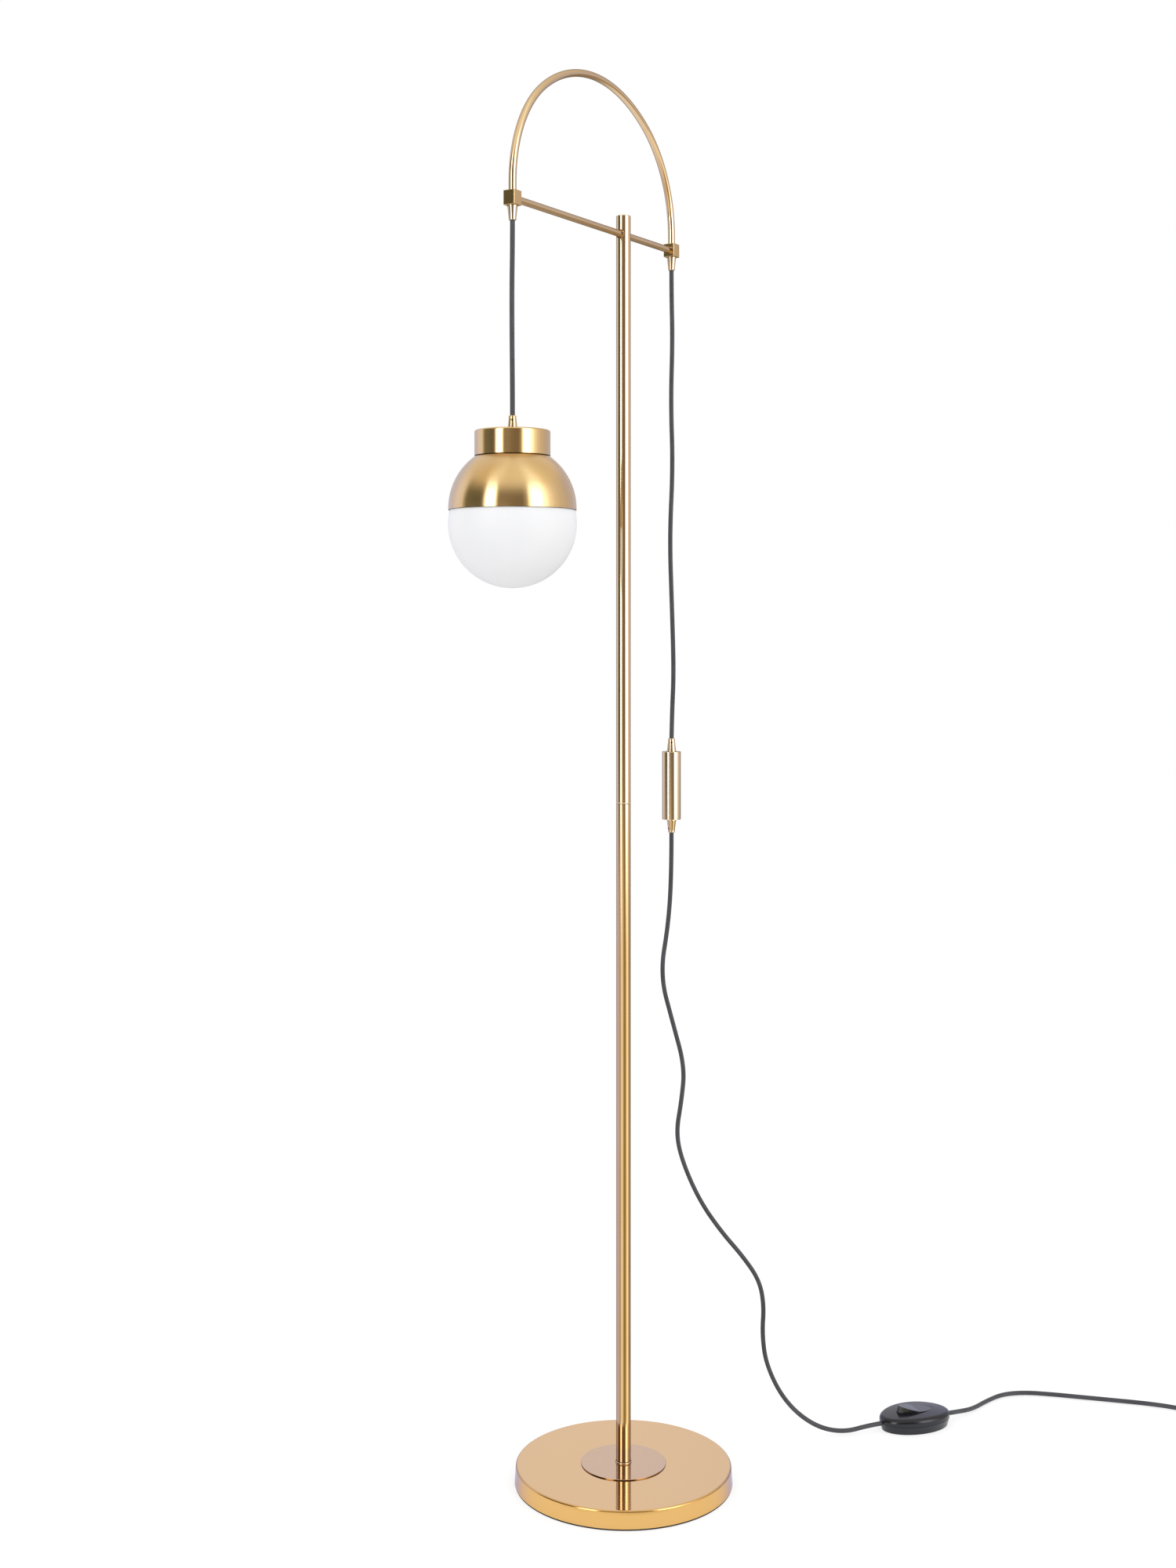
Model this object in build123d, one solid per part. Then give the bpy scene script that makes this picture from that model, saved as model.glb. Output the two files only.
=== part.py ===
from build123d import *
from math import atan2, cos, degrees, pi, radians, sin, sqrt, tan
import os

# Globe floor lamp: a round weighted base, a two-piece pole, a crossbar through the pole's head and a
# tubular arch over it. The flex runs through the arch. A glass globe under a brass half shade hangs
# from one end, and a turned counterweight rides on the flex at the other, so that raising one
# lowers the other. The flex goes on to a foot switch on the floor, a coil and a plug.
# Millimetres, +Z up. The origin is on the pole's axis at the floor. +X runs along the crossbar to
# the counterweight, and the lamp hangs on the -X side.

# ---- base ---------------------------------------------------------------
BASE_FOOT_RADIUS = 119.8
BASE_TOP_RADIUS = 118.3
BASE_TOP_Z = 20.4
BASE_EDGE_RADIUS = 2.0
BASE_WALL = 1.2
PAD_THICKNESS = 1.5
PAD_INSET = 0.6                 # of its rim under the cover's foot
COVER_LIFT = 1.8
DISC_RADIUS = 46.7
DISC_THICKNESS = 1.2
DISC_EDGE_RADIUS = 0.5
STUD_RADIUS = 5.0
NUT_ACROSS_FLATS = 17.0
NUT_HEIGHT = 8.0
WASHER_RADIUS = 15.0
WASHER_THICKNESS = 2.0
NUT_RECESS_MARGIN = 3.0
FOOT_INSERT_LENGTH = 30.0

# ---- pole ---------------------------------------------------------------
POLE_RADIUS = 8.0
POLE_WALL = 1.5
LOWER_TUBE_LENGTH = 724.4
UPPER_TUBE_LENGTH = 644.0
POLE_CAP_THICKNESS = 1.8
POLE_CAP_EDGE_RADIUS = 0.9
POLE_CAP_SPIGOT = 7.0
TUBE_END_CHAMFER = 0.3          # on both tubes where they meet
INSERT_CHAMFER = 0.5
JOINT_INSERT_LENGTH = 26.0
JOINT_STUD_RADIUS = 4.0
JOINT_STUD_LENGTH = 36.0

# ---- crossbar, end blocks and arch ----------------------------------------
BAR_RADIUS = 3.75
BAR_DROP = 19.0                 # the bar's axis below the top of the upper tube
PENDANT_ARM = 217.0             # pole axis to the lamp's axis
WEIGHT_ARM = 107.0              # pole axis to the counterweight's axis
BLOCK_WIDTH = 13.4
BLOCK_HEIGHT = 15.0
BLOCK_EDGE_RADIUS = 0.6
BAR_SEAT_DEPTH = 1.8
COLLAR_RADIUS = 4.9
COLLAR_LENGTH = 1.4
HEAD_INSERT_LENGTH = 26.0
HEAD_SCREW_RADIUS = 2.5
HEAD_SCREW_LENGTH = 6.0
HEAD_SCREW_SOCKET = 2.5
ARCH_TUBE_RADIUS = 4.0
ARCH_TUBE_WALL = 0.9
ARCH_SEAT_DEPTH = 9.0
ARCH_SPRING_HEIGHT = 16.2       # the curve starts this far above the bar's axis
ARCH_RISE = 143.5               # from there to the crown
ARCH_SIDE_RADIUS = 135.0        # of the outer two of the arch's three arcs

# ---- turned cord guides and grips, all alike --------------------------------
GRIP_LENGTH = 15.0
GRIP_BASE_RADIUS = 5.4
GRIP_COLLAR_HEIGHT = 1.3
GRIP_SHOULDER_RADIUS = 5.1
GRIP_MOUTH_RADIUS = 3.9
GRIP_LIP_HEIGHT = 2.6
GRIP_LIP_ROUND = 0.9
SPIGOT_RADIUS = 3.6
SPIGOT_LENGTH = 4.0
GRIP_SCREW_RADIUS = 1.2
GRIP_SCREW_BELOW_MOUTH = 4.6
GRIP_SCREW_SOCKET = 0.6
SCREW_FACING = 212.0            # bearing that the grips' screws face, degrees about +Z

# ---- flex -------------------------------------------------------------------
CORD_RADIUS = 2.6
DROP_LENGTH = 196.4             # flex between the guide and the lamp's grip
WEIGHT_DROP = 536.2             # flex between the guide and the counterweight's grip
CORD_LIFT = 0.4                 # of the loose flex over the floor
COIL_X, COIL_Y = 483.0, -535.0
COIL_OUTER_RADIUS = 37.5
COIL_TURNS_PER_LAYER = 3
COIL_GAP = 0.5                  # between the coil's turns and layers
SWITCH_CORD_RUN = 26.0          # flex straight out of each end of the switch
PLUG_CORD_RUN = 12.0            # flex straight out of the coil and into the plug
PLUG_CORD_SLOPE = 16.0          # and between them, down to the plug's axis

# ---- counterweight ------------------------------------------------------------
WEIGHT_RADIUS = 10.75
WEIGHT_LENGTH = 78.0
WEIGHT_CHAMFER = 0.6

# ---- lamp ---------------------------------------------------------------------
CAP_RADIUS = 38.35
CAP_HEIGHT = 25.4
CAP_EDGE_RADIUS = 2.0
CAP_WALL = 1.0
SHADE_GAP = 0.5                 # shadow gap between the cap's rim and the shade
SHADE_RADIUS = 64.6
SHADE_WALL = 0.8
SHADE_HEIGHT = 54.2             # rim to shoulder
SHADE_CENTRE_ABOVE_RIM = 1.7
SHADE_COLLAR_RADIUS = 36.9
SHADE_COLLAR_HEIGHT = 7.4
SHADE_FLANGE_BORE = 29.0
PLATE_THICKNESS = 1.5
PLATE_INSET = 0.3
WIRE_HOLE_RADIUS = 2.0
WIRE_HOLE_PITCH_RADIUS = 24.0
WIRE_HOLE_COUNT = 3
NIPPLE_RADIUS = 5.0
NIPPLE_BORE_RADIUS = 3.7
NIPPLE_BELOW_PLATE = 10.0
NIPPLE_NUT_ACROSS_FLATS = 14.0
NIPPLE_NUT_HEIGHT = 3.5
RING_LIP_HEIGHT = 2.5
RING_CLEARANCE = 0.1
GLASS_RADIUS = 64.8
GLASS_WALL = 2.5
GLASS_CENTRE_BELOW_RIM = 13.8
GLASS_NECK_RADIUS = 33.2
GLASS_BEAD = 1.2
GLASS_BEAD_HEIGHT = 2.5
GLASS_NECK_GAP = 1.5            # above the bead, under the shade's flange
HOLDER_RADIUS = 20.0
HOLDER_WALL = 1.8
HOLDER_SHOULDER_ROUND = 7.2
HOLDER_CAP_HEIGHT = 18.0
HOLDER_BODY_HEIGHT = 35.0
HOLDER_SPIGOT = 6.0
HOLDER_FLOOR_THICKNESS = 3.0
HOLDER_FLOOR_DEPTH = 2.0        # below the joint of the holder's two halves
HOLDER_BOSS_RADIUS = 8.0
HOLDER_BOSS_HEIGHT = 9.0
CONTACT_SHELL_RADIUS = 14.0
CONTACT_SHELL_WALL = 0.6
CONTACT_SHELL_LENGTH = 26.0
CENTRE_CONTACT_RADIUS = 4.0
CENTRE_CONTACT_HEIGHT = 2.5
BULB_CAP_LENGTH = 22.0
BULB_CAP_TIP_RADIUS = 4.5
BULB_CAP_TIP_HEIGHT = 1.6
BULB_CAP_CONE_HEIGHT = 2.0
BULB_RADIUS = 22.5
BULB_NECK_RADIUS = 12.4
BULB_WALL = 1.0
BULB_CENTRE_BELOW_CAP = 26.0

# ---- foot switch ----------------------------------------------------------------
SWITCH_X, SWITCH_Y = 310.7, -213.2
SWITCH_YAW = -38.7
SWITCH_HALF_LENGTH = 44.0
SWITCH_HALF_WIDTH = 28.0
SWITCH_SOLE_INSET = 2.5
SWITCH_SEAM_Z = 9.0
SWITCH_SEAM_GAP = 0.3
SWITCH_TOP_Z = 19.5
SWITCH_CROWN_RADIUS = 250.0
SWITCH_EDGE_RADIUS = 5.0
SWITCH_WALL = 2.0
SWITCH_CORD_Z = 8.5
SWITCH_CORD_SEAT = 31.0         # each flex ends this far from the middle, on its clamp
SWITCH_CLAMP_LENGTH = 5.0
SWITCH_CLAMP_TOP_Z = 11.5
SWITCH_BLOCK_HALF_WIDTH = 9.0
SWITCH_BLOCK_TOP_Z = 9.0
SWITCH_SCREW_RADIUS = 1.6
SWITCH_SCREW_HEAD_RADIUS = 2.8
SWITCH_SCREW_HEAD_HEIGHT = 0.9
SWITCH_SCREW_RECESS = 0.3       # of its head in the sole
SWITCH_SCREW_LENGTH = 11.0      # under its head
SWITCH_SCREW_OFFSET = 18.5
SWITCH_POST_RADIUS = 3.4
ROCKER_HALF_LENGTH = 23.5
ROCKER_HALF_WIDTH = 11.5
ROCKER_GAP = 0.9
ROCKER_TILT = 10.0              # each way from level
ROCKER_DISH = 4.0               # slope of each half of its top towards the middle
ROCKER_AXLE_Z = 16.5
ROCKER_TOP_RISE = 4.1           # its waist above the axle
ROCKER_KEEL = 5.0
ROCKER_END_KEEL = 2.0
ROCKER_KEEL_HALF_LENGTH = 8.0
AXLE_RADIUS = 1.5
AXLE_END_WALL = 0.4             # of its lug beyond each end
AXLE_LUG_THICKNESS = 3.0
AXLE_LUG_HALF_LENGTH = 3.5
AXLE_LUG_BELOW_AXLE = 3.5

# ---- plug -------------------------------------------------------------------------
PLUG_HALF_WIDTH = 17.6
PLUG_THICKNESS = 13.8
PLUG_LENGTH = 30.0
PLUG_FACE_LENGTH = 7.5          # straight-sided length at its face
PLUG_BACK_HALF_WIDTH = 9.0
PLUG_WAIST_HALF_WIDTH = 12.0
PLUG_EDGE_RADIUS = 2.0
BOOT_LENGTH = 22.0
BOOT_ROOT = 1.0                 # its length inside the plug's back
BOOT_BASE_RADIUS = 5.6
BOOT_TIP_RADIUS = 4.0
BOOT_GROOVES = 5
BOOT_GROOVE_WIDTH = 1.2
BOOT_GROOVE_DEPTH = 0.9
PIN_RADIUS = 2.0
PIN_TIP_ROUND = 1.6
PIN_LENGTH = 19.0
PIN_SLEEVE_RADIUS = 1.9
PIN_SLEEVE_LENGTH = 10.0
PIN_PITCH = 18.6
PIN_ROOT = 8.0

# ---- clearances ---------------------------------------------------------------------
FIT = 0.1                       # radial, threads and inserts
CORD_CLEARANCE = 0.3            # radial, flex in a bore
RUNNING_FIT = 0.05              # radial, rocker on its axle
BODY_GAP = 0.3                  # between pieces that move against each other
SWING_GAP = 0.5                 # flex end under the guide's mouth, where the lamp swings

# ---- heights and places worked out from the sizes above -------------------------------
POLE_FOOT_Z = BASE_TOP_Z + DISC_THICKNESS
POLE_SEAM_Z = POLE_FOOT_Z + LOWER_TUBE_LENGTH
POLE_TOP_Z = POLE_SEAM_Z + UPPER_TUBE_LENGTH
POLE_BORE_RADIUS = POLE_RADIUS - POLE_WALL
BAR_Z = POLE_TOP_Z - BAR_DROP
BLOCK_TOP_Z = BAR_Z + BLOCK_HEIGHT / 2
BLOCK_BOTTOM_Z = BAR_Z - BLOCK_HEIGHT / 2
GUIDE_MOUTH_Z = BLOCK_BOTTOM_Z - GRIP_LENGTH
CORD_BORE_RADIUS = CORD_RADIUS + CORD_CLEARANCE
BALLAST_TOP_Z = BASE_TOP_Z - BASE_WALL

LAMP_MOUTH_Z = GUIDE_MOUTH_Z - DROP_LENGTH
CAP_TOP_Z = LAMP_MOUTH_Z - GRIP_LENGTH
CAP_RIM_Z = CAP_TOP_Z - CAP_HEIGHT
SHOULDER_Z = CAP_RIM_Z - SHADE_GAP
SHADE_RIM_Z = SHOULDER_Z - SHADE_HEIGHT
SHADE_CENTRE_Z = SHADE_RIM_Z + SHADE_CENTRE_ABOVE_RIM
SHADE_COLLAR_TOP_Z = SHOULDER_Z + SHADE_COLLAR_HEIGHT
PLATE_TOP_Z = SHADE_COLLAR_TOP_Z + PLATE_THICKNESS
GLASS_CENTRE_Z = SHADE_RIM_Z - GLASS_CENTRE_BELOW_RIM
GLASS_TOP_Z = SHADE_COLLAR_TOP_Z - SHADE_WALL - GLASS_NECK_GAP
NIPPLE_TOP_Z = CAP_TOP_Z - CAP_WALL
NIPPLE_BOTTOM_Z = SHADE_COLLAR_TOP_Z - NIPPLE_BELOW_PLATE
HOLDER_JOINT_Z = SHADE_COLLAR_TOP_Z - HOLDER_CAP_HEIGHT
HOLDER_MOUTH_Z = HOLDER_JOINT_Z - HOLDER_BODY_HEIGHT
HOLDER_FLOOR_Z = HOLDER_JOINT_Z - HOLDER_FLOOR_DEPTH - HOLDER_FLOOR_THICKNESS
BULB_CAP_RADIUS = CONTACT_SHELL_RADIUS - CONTACT_SHELL_WALL - 2 * FIT
BULB_TIP_Z = HOLDER_FLOOR_Z - CENTRE_CONTACT_HEIGHT - FIT
BULB_CAP_TOP_Z = BULB_TIP_Z - BULB_CAP_TIP_HEIGHT - BULB_CAP_CONE_HEIGHT
BULB_CAP_BOTTOM_Z = BULB_CAP_TOP_Z - BULB_CAP_LENGTH
BULB_CENTRE_Z = BULB_CAP_BOTTOM_Z - BULB_CENTRE_BELOW_CAP

WEIGHT_MOUTH_Z = GUIDE_MOUTH_Z - WEIGHT_DROP
WEIGHT_TOP_Z = WEIGHT_MOUTH_Z - GRIP_LENGTH
WEIGHT_BOTTOM_Z = WEIGHT_TOP_Z - WEIGHT_LENGTH
WEIGHT_TAIL_Z = WEIGHT_BOTTOM_Z - GRIP_LENGTH

SWITCH = Location((SWITCH_X, SWITCH_Y, 0), (0, 0, SWITCH_YAW))
SWITCH_SCREW_SEAT_Z = SWITCH_SCREW_RECESS + SWITCH_SCREW_HEAD_HEIGHT
SWITCH_ROOF_Z = SWITCH_TOP_Z - SWITCH_WALL
ROCKER_WELL_HALF_WIDTH = ROCKER_HALF_WIDTH + ROCKER_GAP
AXLE_HALF_LENGTH = ROCKER_WELL_HALF_WIDTH + AXLE_LUG_THICKNESS - AXLE_END_WALL
CORD_STEP = 2 * CORD_RADIUS + COIL_GAP
FLOOR_CORD_Z = CORD_RADIUS + CORD_LIFT


# ---- general shapes ---------------------------------------------------------------------
def rod(radius, bottom_z, top_z, x=0.0, y=0.0):
    """Round bar standing upright."""
    bar = Cylinder(radius, top_z - bottom_z, align=(Align.CENTER, Align.CENTER, Align.MIN))
    return Pos(x, y, bottom_z) * bar


def pipe(outer_radius, inner_radius, bottom_z, top_z, x=0.0, y=0.0):
    """Round tube standing upright."""
    return rod(outer_radius, bottom_z, top_z, x, y) - rod(inner_radius, bottom_z, top_z, x, y)


def turned(*points):
    """Solid turned about Z from (radius, z) points."""
    return revolve(Plane.XZ * make_face(Polyline(*points, close=True)), Axis.Z)


def turned_edges(edges):
    """Solid turned about Z from a closed chain of lines and arcs in the XZ plane."""
    return revolve(Plane.XZ * make_face(edges), Axis.Z)


def hex_nut(across_flats, height, bore_radius, bottom_z):
    """Hexagon nut lying flat."""
    blank = extrude(RegularPolygon(across_flats / 2, 6, major_radius=False), height)
    return Pos(0, 0, bottom_z) * (blank - rod(bore_radius, 0, height))


def sphere_height(radius, at_radius):
    """Height over a sphere's centre at which it is at_radius wide."""
    return sqrt(radius ** 2 - at_radius ** 2)


def elevation(radius, height):
    """Angle above the horizontal of a sphere's point at a height over its centre, in degrees."""
    return degrees(atan2(height, sphere_height(radius, height)))


def sphere_arc(centre_z, radius, low_angle, high_z):
    """Meridian of a sphere about Z, in the XZ plane, from an elevation up to a height."""
    high_angle = elevation(radius, high_z - centre_z)
    return CenterArc((0, centre_z), radius, low_angle, high_angle - low_angle)


def section_volume_ratio(solid, path, radius):
    """A sound sweep's volume is its section times its length."""
    return solid.volume / (pi * radius ** 2 * path.length)


# ---- base ---------------------------------------------------------------------------------
def base_pad():
    return rod(BASE_FOOT_RADIUS - PAD_INSET, 0, PAD_THICKNESS)


def base_ballast():
    disc = rod(BASE_TOP_RADIUS - BASE_WALL - FIT, PAD_THICKNESS, BALLAST_TOP_Z)
    recess_radius = WASHER_RADIUS + NUT_RECESS_MARGIN
    recess_top = PAD_THICKNESS + NUT_HEIGHT + WASHER_THICKNESS
    return disc - rod(recess_radius, PAD_THICKNESS, recess_top) - rod(STUD_RADIUS + FIT, 0, BASE_TOP_Z)


def base_cover():
    outer = turned((0, COVER_LIFT), (BASE_FOOT_RADIUS, COVER_LIFT), (BASE_TOP_RADIUS, BASE_TOP_Z),
                   (0, BASE_TOP_Z))
    outer = fillet(outer.edges().group_by(Axis.Z)[-1], BASE_EDGE_RADIUS)
    hollow = turned((0, COVER_LIFT), (BASE_FOOT_RADIUS - BASE_WALL, COVER_LIFT),
                    (BASE_TOP_RADIUS - BASE_WALL, BALLAST_TOP_Z), (0, BALLAST_TOP_Z))
    return outer - hollow - rod(STUD_RADIUS + FIT, 0, BASE_TOP_Z)


def base_disc():
    disc = rod(DISC_RADIUS, BASE_TOP_Z, POLE_FOOT_Z)
    disc = fillet(disc.edges().group_by(Axis.Z)[-1], DISC_EDGE_RADIUS)
    return disc - rod(STUD_RADIUS + FIT, BASE_TOP_Z, POLE_FOOT_Z)


def base_stud():
    return rod(STUD_RADIUS, PAD_THICKNESS, POLE_FOOT_Z + FOOT_INSERT_LENGTH / 2)


def base_washer():
    bottom = PAD_THICKNESS + NUT_HEIGHT
    return pipe(WASHER_RADIUS, STUD_RADIUS + FIT, bottom, bottom + WASHER_THICKNESS)


def base_nut():
    return hex_nut(NUT_ACROSS_FLATS, NUT_HEIGHT, STUD_RADIUS + FIT, PAD_THICKNESS)


# ---- pole -------------------------------------------------------------------------------------
def pole_insert(bore_radius, bottom_z, top_z):
    """Threaded plug in a tube's end, chamfered at both ends."""
    plug = rod(POLE_BORE_RADIUS - FIT, bottom_z, top_z)
    plug = chamfer(plug.edges().filter_by(GeomType.CIRCLE), INSERT_CHAMFER)
    return plug - rod(bore_radius, bottom_z, top_z)


def pole_foot_insert():
    return pole_insert(STUD_RADIUS + FIT, POLE_FOOT_Z, POLE_FOOT_Z + FOOT_INSERT_LENGTH)


def pole_joint_inserts():
    bore = JOINT_STUD_RADIUS + FIT
    lower = pole_insert(bore, POLE_SEAM_Z - JOINT_INSERT_LENGTH, POLE_SEAM_Z)
    upper = pole_insert(bore, POLE_SEAM_Z, POLE_SEAM_Z + JOINT_INSERT_LENGTH)
    return Compound(children=[lower, upper])


def pole_joint_stud():
    half = JOINT_STUD_LENGTH / 2
    return rod(JOINT_STUD_RADIUS, POLE_SEAM_Z - half, POLE_SEAM_Z + half)


def pole_lower():
    tube = rod(POLE_RADIUS, POLE_FOOT_Z, POLE_SEAM_Z)
    tube = chamfer(tube.edges().group_by(Axis.Z)[-1], TUBE_END_CHAMFER)
    return tube - rod(POLE_BORE_RADIUS, POLE_FOOT_Z, POLE_SEAM_Z)


def along_bar(radius, start_x, end_x):
    """Round bar on the crossbar's axis."""
    bar = Cylinder(radius, end_x - start_x, align=(Align.CENTER, Align.CENTER, Align.MIN))
    return Pos(start_x, 0, BAR_Z) * Rot(0, 90, 0) * bar


def pole_upper():
    tube = rod(POLE_RADIUS, POLE_SEAM_Z, POLE_TOP_Z)
    tube = chamfer(tube.edges().group_by(Axis.Z)[0], TUBE_END_CHAMFER)
    lip = along_bar(COLLAR_RADIUS, -POLE_RADIUS - COLLAR_LENGTH / 2, POLE_RADIUS + COLLAR_LENGTH / 2)
    bar_hole = along_bar(BAR_RADIUS + FIT, -2 * POLE_RADIUS, 2 * POLE_RADIUS)
    return tube + lip - rod(POLE_BORE_RADIUS, POLE_SEAM_Z, POLE_TOP_Z) - bar_hole


def pole_cap():
    disc = rod(POLE_RADIUS, POLE_TOP_Z, POLE_TOP_Z + POLE_CAP_THICKNESS)
    disc = fillet(disc.edges().group_by(Axis.Z)[-1], POLE_CAP_EDGE_RADIUS)
    return disc + rod(POLE_BORE_RADIUS - FIT, POLE_TOP_Z - POLE_CAP_SPIGOT, POLE_TOP_Z)


def bar_insert():
    """Plug in the pole's head that the crossbar passes through."""
    top = BAR_Z + BAR_RADIUS + HEAD_SCREW_LENGTH
    plug = rod(POLE_BORE_RADIUS - FIT, top - HEAD_INSERT_LENGTH, top)
    bar_hole = along_bar(BAR_RADIUS + FIT, -2 * POLE_RADIUS, 2 * POLE_RADIUS)
    return plug - bar_hole - rod(HEAD_SCREW_RADIUS + FIT, BAR_Z, top)


def bar_screw():
    """Socket screw that holds the crossbar, under the pole's cap."""
    bottom = BAR_Z + BAR_RADIUS + FIT
    top = bottom + HEAD_SCREW_LENGTH - FIT
    socket = extrude(RegularPolygon(HEAD_SCREW_SOCKET / 2, 6, major_radius=False), HEAD_SCREW_LENGTH / 2)
    return rod(HEAD_SCREW_RADIUS, bottom, top) - Pos(0, 0, top - HEAD_SCREW_LENGTH / 2) * socket


# ---- crossbar, blocks and arch --------------------------------------------------------------------
def bar_end(arm):
    """Distance of the crossbar's end from the pole's axis, towards a block."""
    return arm - BLOCK_WIDTH / 2 + BAR_SEAT_DEPTH


def crossbar():
    return along_bar(BAR_RADIUS, -bar_end(PENDANT_ARM), bar_end(WEIGHT_ARM))


def bar_collars():
    """Thin rings round the crossbar against the two blocks."""
    rings = []
    for start in (-PENDANT_ARM + BLOCK_WIDTH / 2, WEIGHT_ARM - BLOCK_WIDTH / 2 - COLLAR_LENGTH):
        ring = along_bar(COLLAR_RADIUS, start, start + COLLAR_LENGTH)
        rings.append(ring - along_bar(BAR_RADIUS + FIT, start, start + COLLAR_LENGTH))
    return Compound(children=rings)


def end_block(x, towards_pole):
    """Square block that joins the bar, one leg of the arch and a cord guide."""
    block = fillet(Box(BLOCK_WIDTH, BLOCK_WIDTH, BLOCK_HEIGHT).edges(), BLOCK_EDGE_RADIUS)
    block = Pos(x, 0, BAR_Z) * block
    face_x = x + towards_pole * BLOCK_WIDTH / 2
    seat_x = face_x - towards_pole * BAR_SEAT_DEPTH
    block -= along_bar(BAR_RADIUS + FIT, min(face_x, seat_x), max(face_x, seat_x))
    block -= rod(CORD_BORE_RADIUS, BLOCK_BOTTOM_Z, BLOCK_TOP_Z, x)
    block -= rod(ARCH_TUBE_RADIUS + FIT, BLOCK_TOP_Z - ARCH_SEAT_DEPTH, BLOCK_TOP_Z, x)
    return block - rod(SPIGOT_RADIUS + FIT, BLOCK_BOTTOM_Z, BLOCK_BOTTOM_Z + SPIGOT_LENGTH, x)


def arch_path(foot_z):
    """Centreline of the arch from foot_z up over the crown and down again: two straight legs and
    three arcs that meet at common tangents."""
    half_span = (PENDANT_ARM + WEIGHT_ARM) / 2
    middle = (WEIGHT_ARM - PENDANT_ARM) / 2
    spring_z = BAR_Z + ARCH_SPRING_HEIGHT
    offset = half_span - ARCH_SIDE_RADIUS
    rise = ARCH_RISE - ARCH_SIDE_RADIUS
    depth = (offset ** 2 - rise ** 2) / (2 * rise)
    crown_radius = ARCH_RISE + depth
    side_angle = degrees(atan2(depth, offset))

    def on_side(x_sign, angle):
        a = radians(angle)
        return (middle + x_sign * (offset + ARCH_SIDE_RADIUS * cos(a)), 0,
                spring_z + ARCH_SIDE_RADIUS * sin(a))

    crown = (middle, 0, spring_z - depth + crown_radius)
    left_foot = (-PENDANT_ARM, 0, foot_z)
    right_foot = (WEIGHT_ARM, 0, foot_z)
    edges = [
        Line(left_foot, on_side(-1, 0)),
        ThreePointArc(on_side(-1, 0), on_side(-1, side_angle / 2), on_side(-1, side_angle)),
        ThreePointArc(on_side(-1, side_angle), crown, on_side(1, side_angle)),
        ThreePointArc(on_side(1, side_angle), on_side(1, side_angle / 2), on_side(1, 0)),
        Line(on_side(1, 0), right_foot),
    ]
    return Wire(edges)


def swept(section, path):
    """Section swept along a path from its start."""
    return sweep(Plane(origin=path @ 0, z_dir=path % 0) * section, path=path)


def arch_tube():
    path = arch_path(BLOCK_TOP_Z - ARCH_SEAT_DEPTH)
    return swept(Circle(ARCH_TUBE_RADIUS) - Circle(ARCH_TUBE_RADIUS - ARCH_TUBE_WALL), path)


def arch_cord():
    """Flex inside the arch, from one guide's mouth to the other's."""
    return swept(Circle(CORD_RADIUS), arch_path(GUIDE_MOUTH_Z))


# ---- turned guides and grips -----------------------------------------------------------------------
def grip_outer_radius(above_base):
    """Radius of the cone at a height over the grip's base."""
    cone = GRIP_LENGTH - GRIP_LIP_HEIGHT - GRIP_COLLAR_HEIGHT
    share = (above_base - GRIP_COLLAR_HEIGHT) / cone
    return GRIP_SHOULDER_RADIUS + (GRIP_MOUTH_RADIUS - GRIP_SHOULDER_RADIUS) * share


def turned_grip(with_screw_hole):
    """Tapered guide with its base on z = 0, its mouth upwards and a threaded spigot below."""
    body = turned((CORD_BORE_RADIUS, -SPIGOT_LENGTH), (SPIGOT_RADIUS, -SPIGOT_LENGTH),
                  (SPIGOT_RADIUS, 0), (GRIP_BASE_RADIUS, 0), (GRIP_BASE_RADIUS, GRIP_COLLAR_HEIGHT),
                  (GRIP_SHOULDER_RADIUS, GRIP_COLLAR_HEIGHT),
                  (GRIP_MOUTH_RADIUS, GRIP_LENGTH - GRIP_LIP_HEIGHT),
                  (GRIP_MOUTH_RADIUS, GRIP_LENGTH), (CORD_BORE_RADIUS, GRIP_LENGTH))
    mouth = body.edges().filter_by(GeomType.CIRCLE).group_by(Axis.Z)[-1].sort_by(SortBy.RADIUS)[-1]
    body = fillet(mouth, GRIP_LIP_ROUND)
    if with_screw_hole:
        body -= screw_place() * rod(GRIP_SCREW_RADIUS + FIT, 0, GRIP_BASE_RADIUS)
    return body


def screw_place():
    """Across the grip from its axis towards the screw."""
    return Pos(0, 0, GRIP_LENGTH - GRIP_SCREW_BELOW_MOUTH) * Rot(0, 0, SCREW_FACING) * Rot(0, 90, 0)


def grip_screw():
    """Small socket screw that pinches the flex, nearly flush with the cone."""
    outer = grip_outer_radius(GRIP_LENGTH - GRIP_SCREW_BELOW_MOUTH) - FIT
    screw = rod(GRIP_SCREW_RADIUS, CORD_RADIUS + FIT / 2, outer)
    socket = extrude(RegularPolygon(GRIP_SCREW_SOCKET, 6, major_radius=False), -GRIP_SCREW_SOCKET)
    return screw_place() * (screw - Pos(0, 0, outer) * socket)


def mouth_up(x, base_z):
    return Pos(x, 0, base_z)


def mouth_down(x, base_z):
    return Pos(x, 0, base_z) * Rot(180, 0, 0)


# ---- straight lengths of flex ------------------------------------------------------------------------
def straight_cord(x, bottom_z, top_z):
    return rod(CORD_RADIUS, bottom_z, top_z, x)


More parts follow.
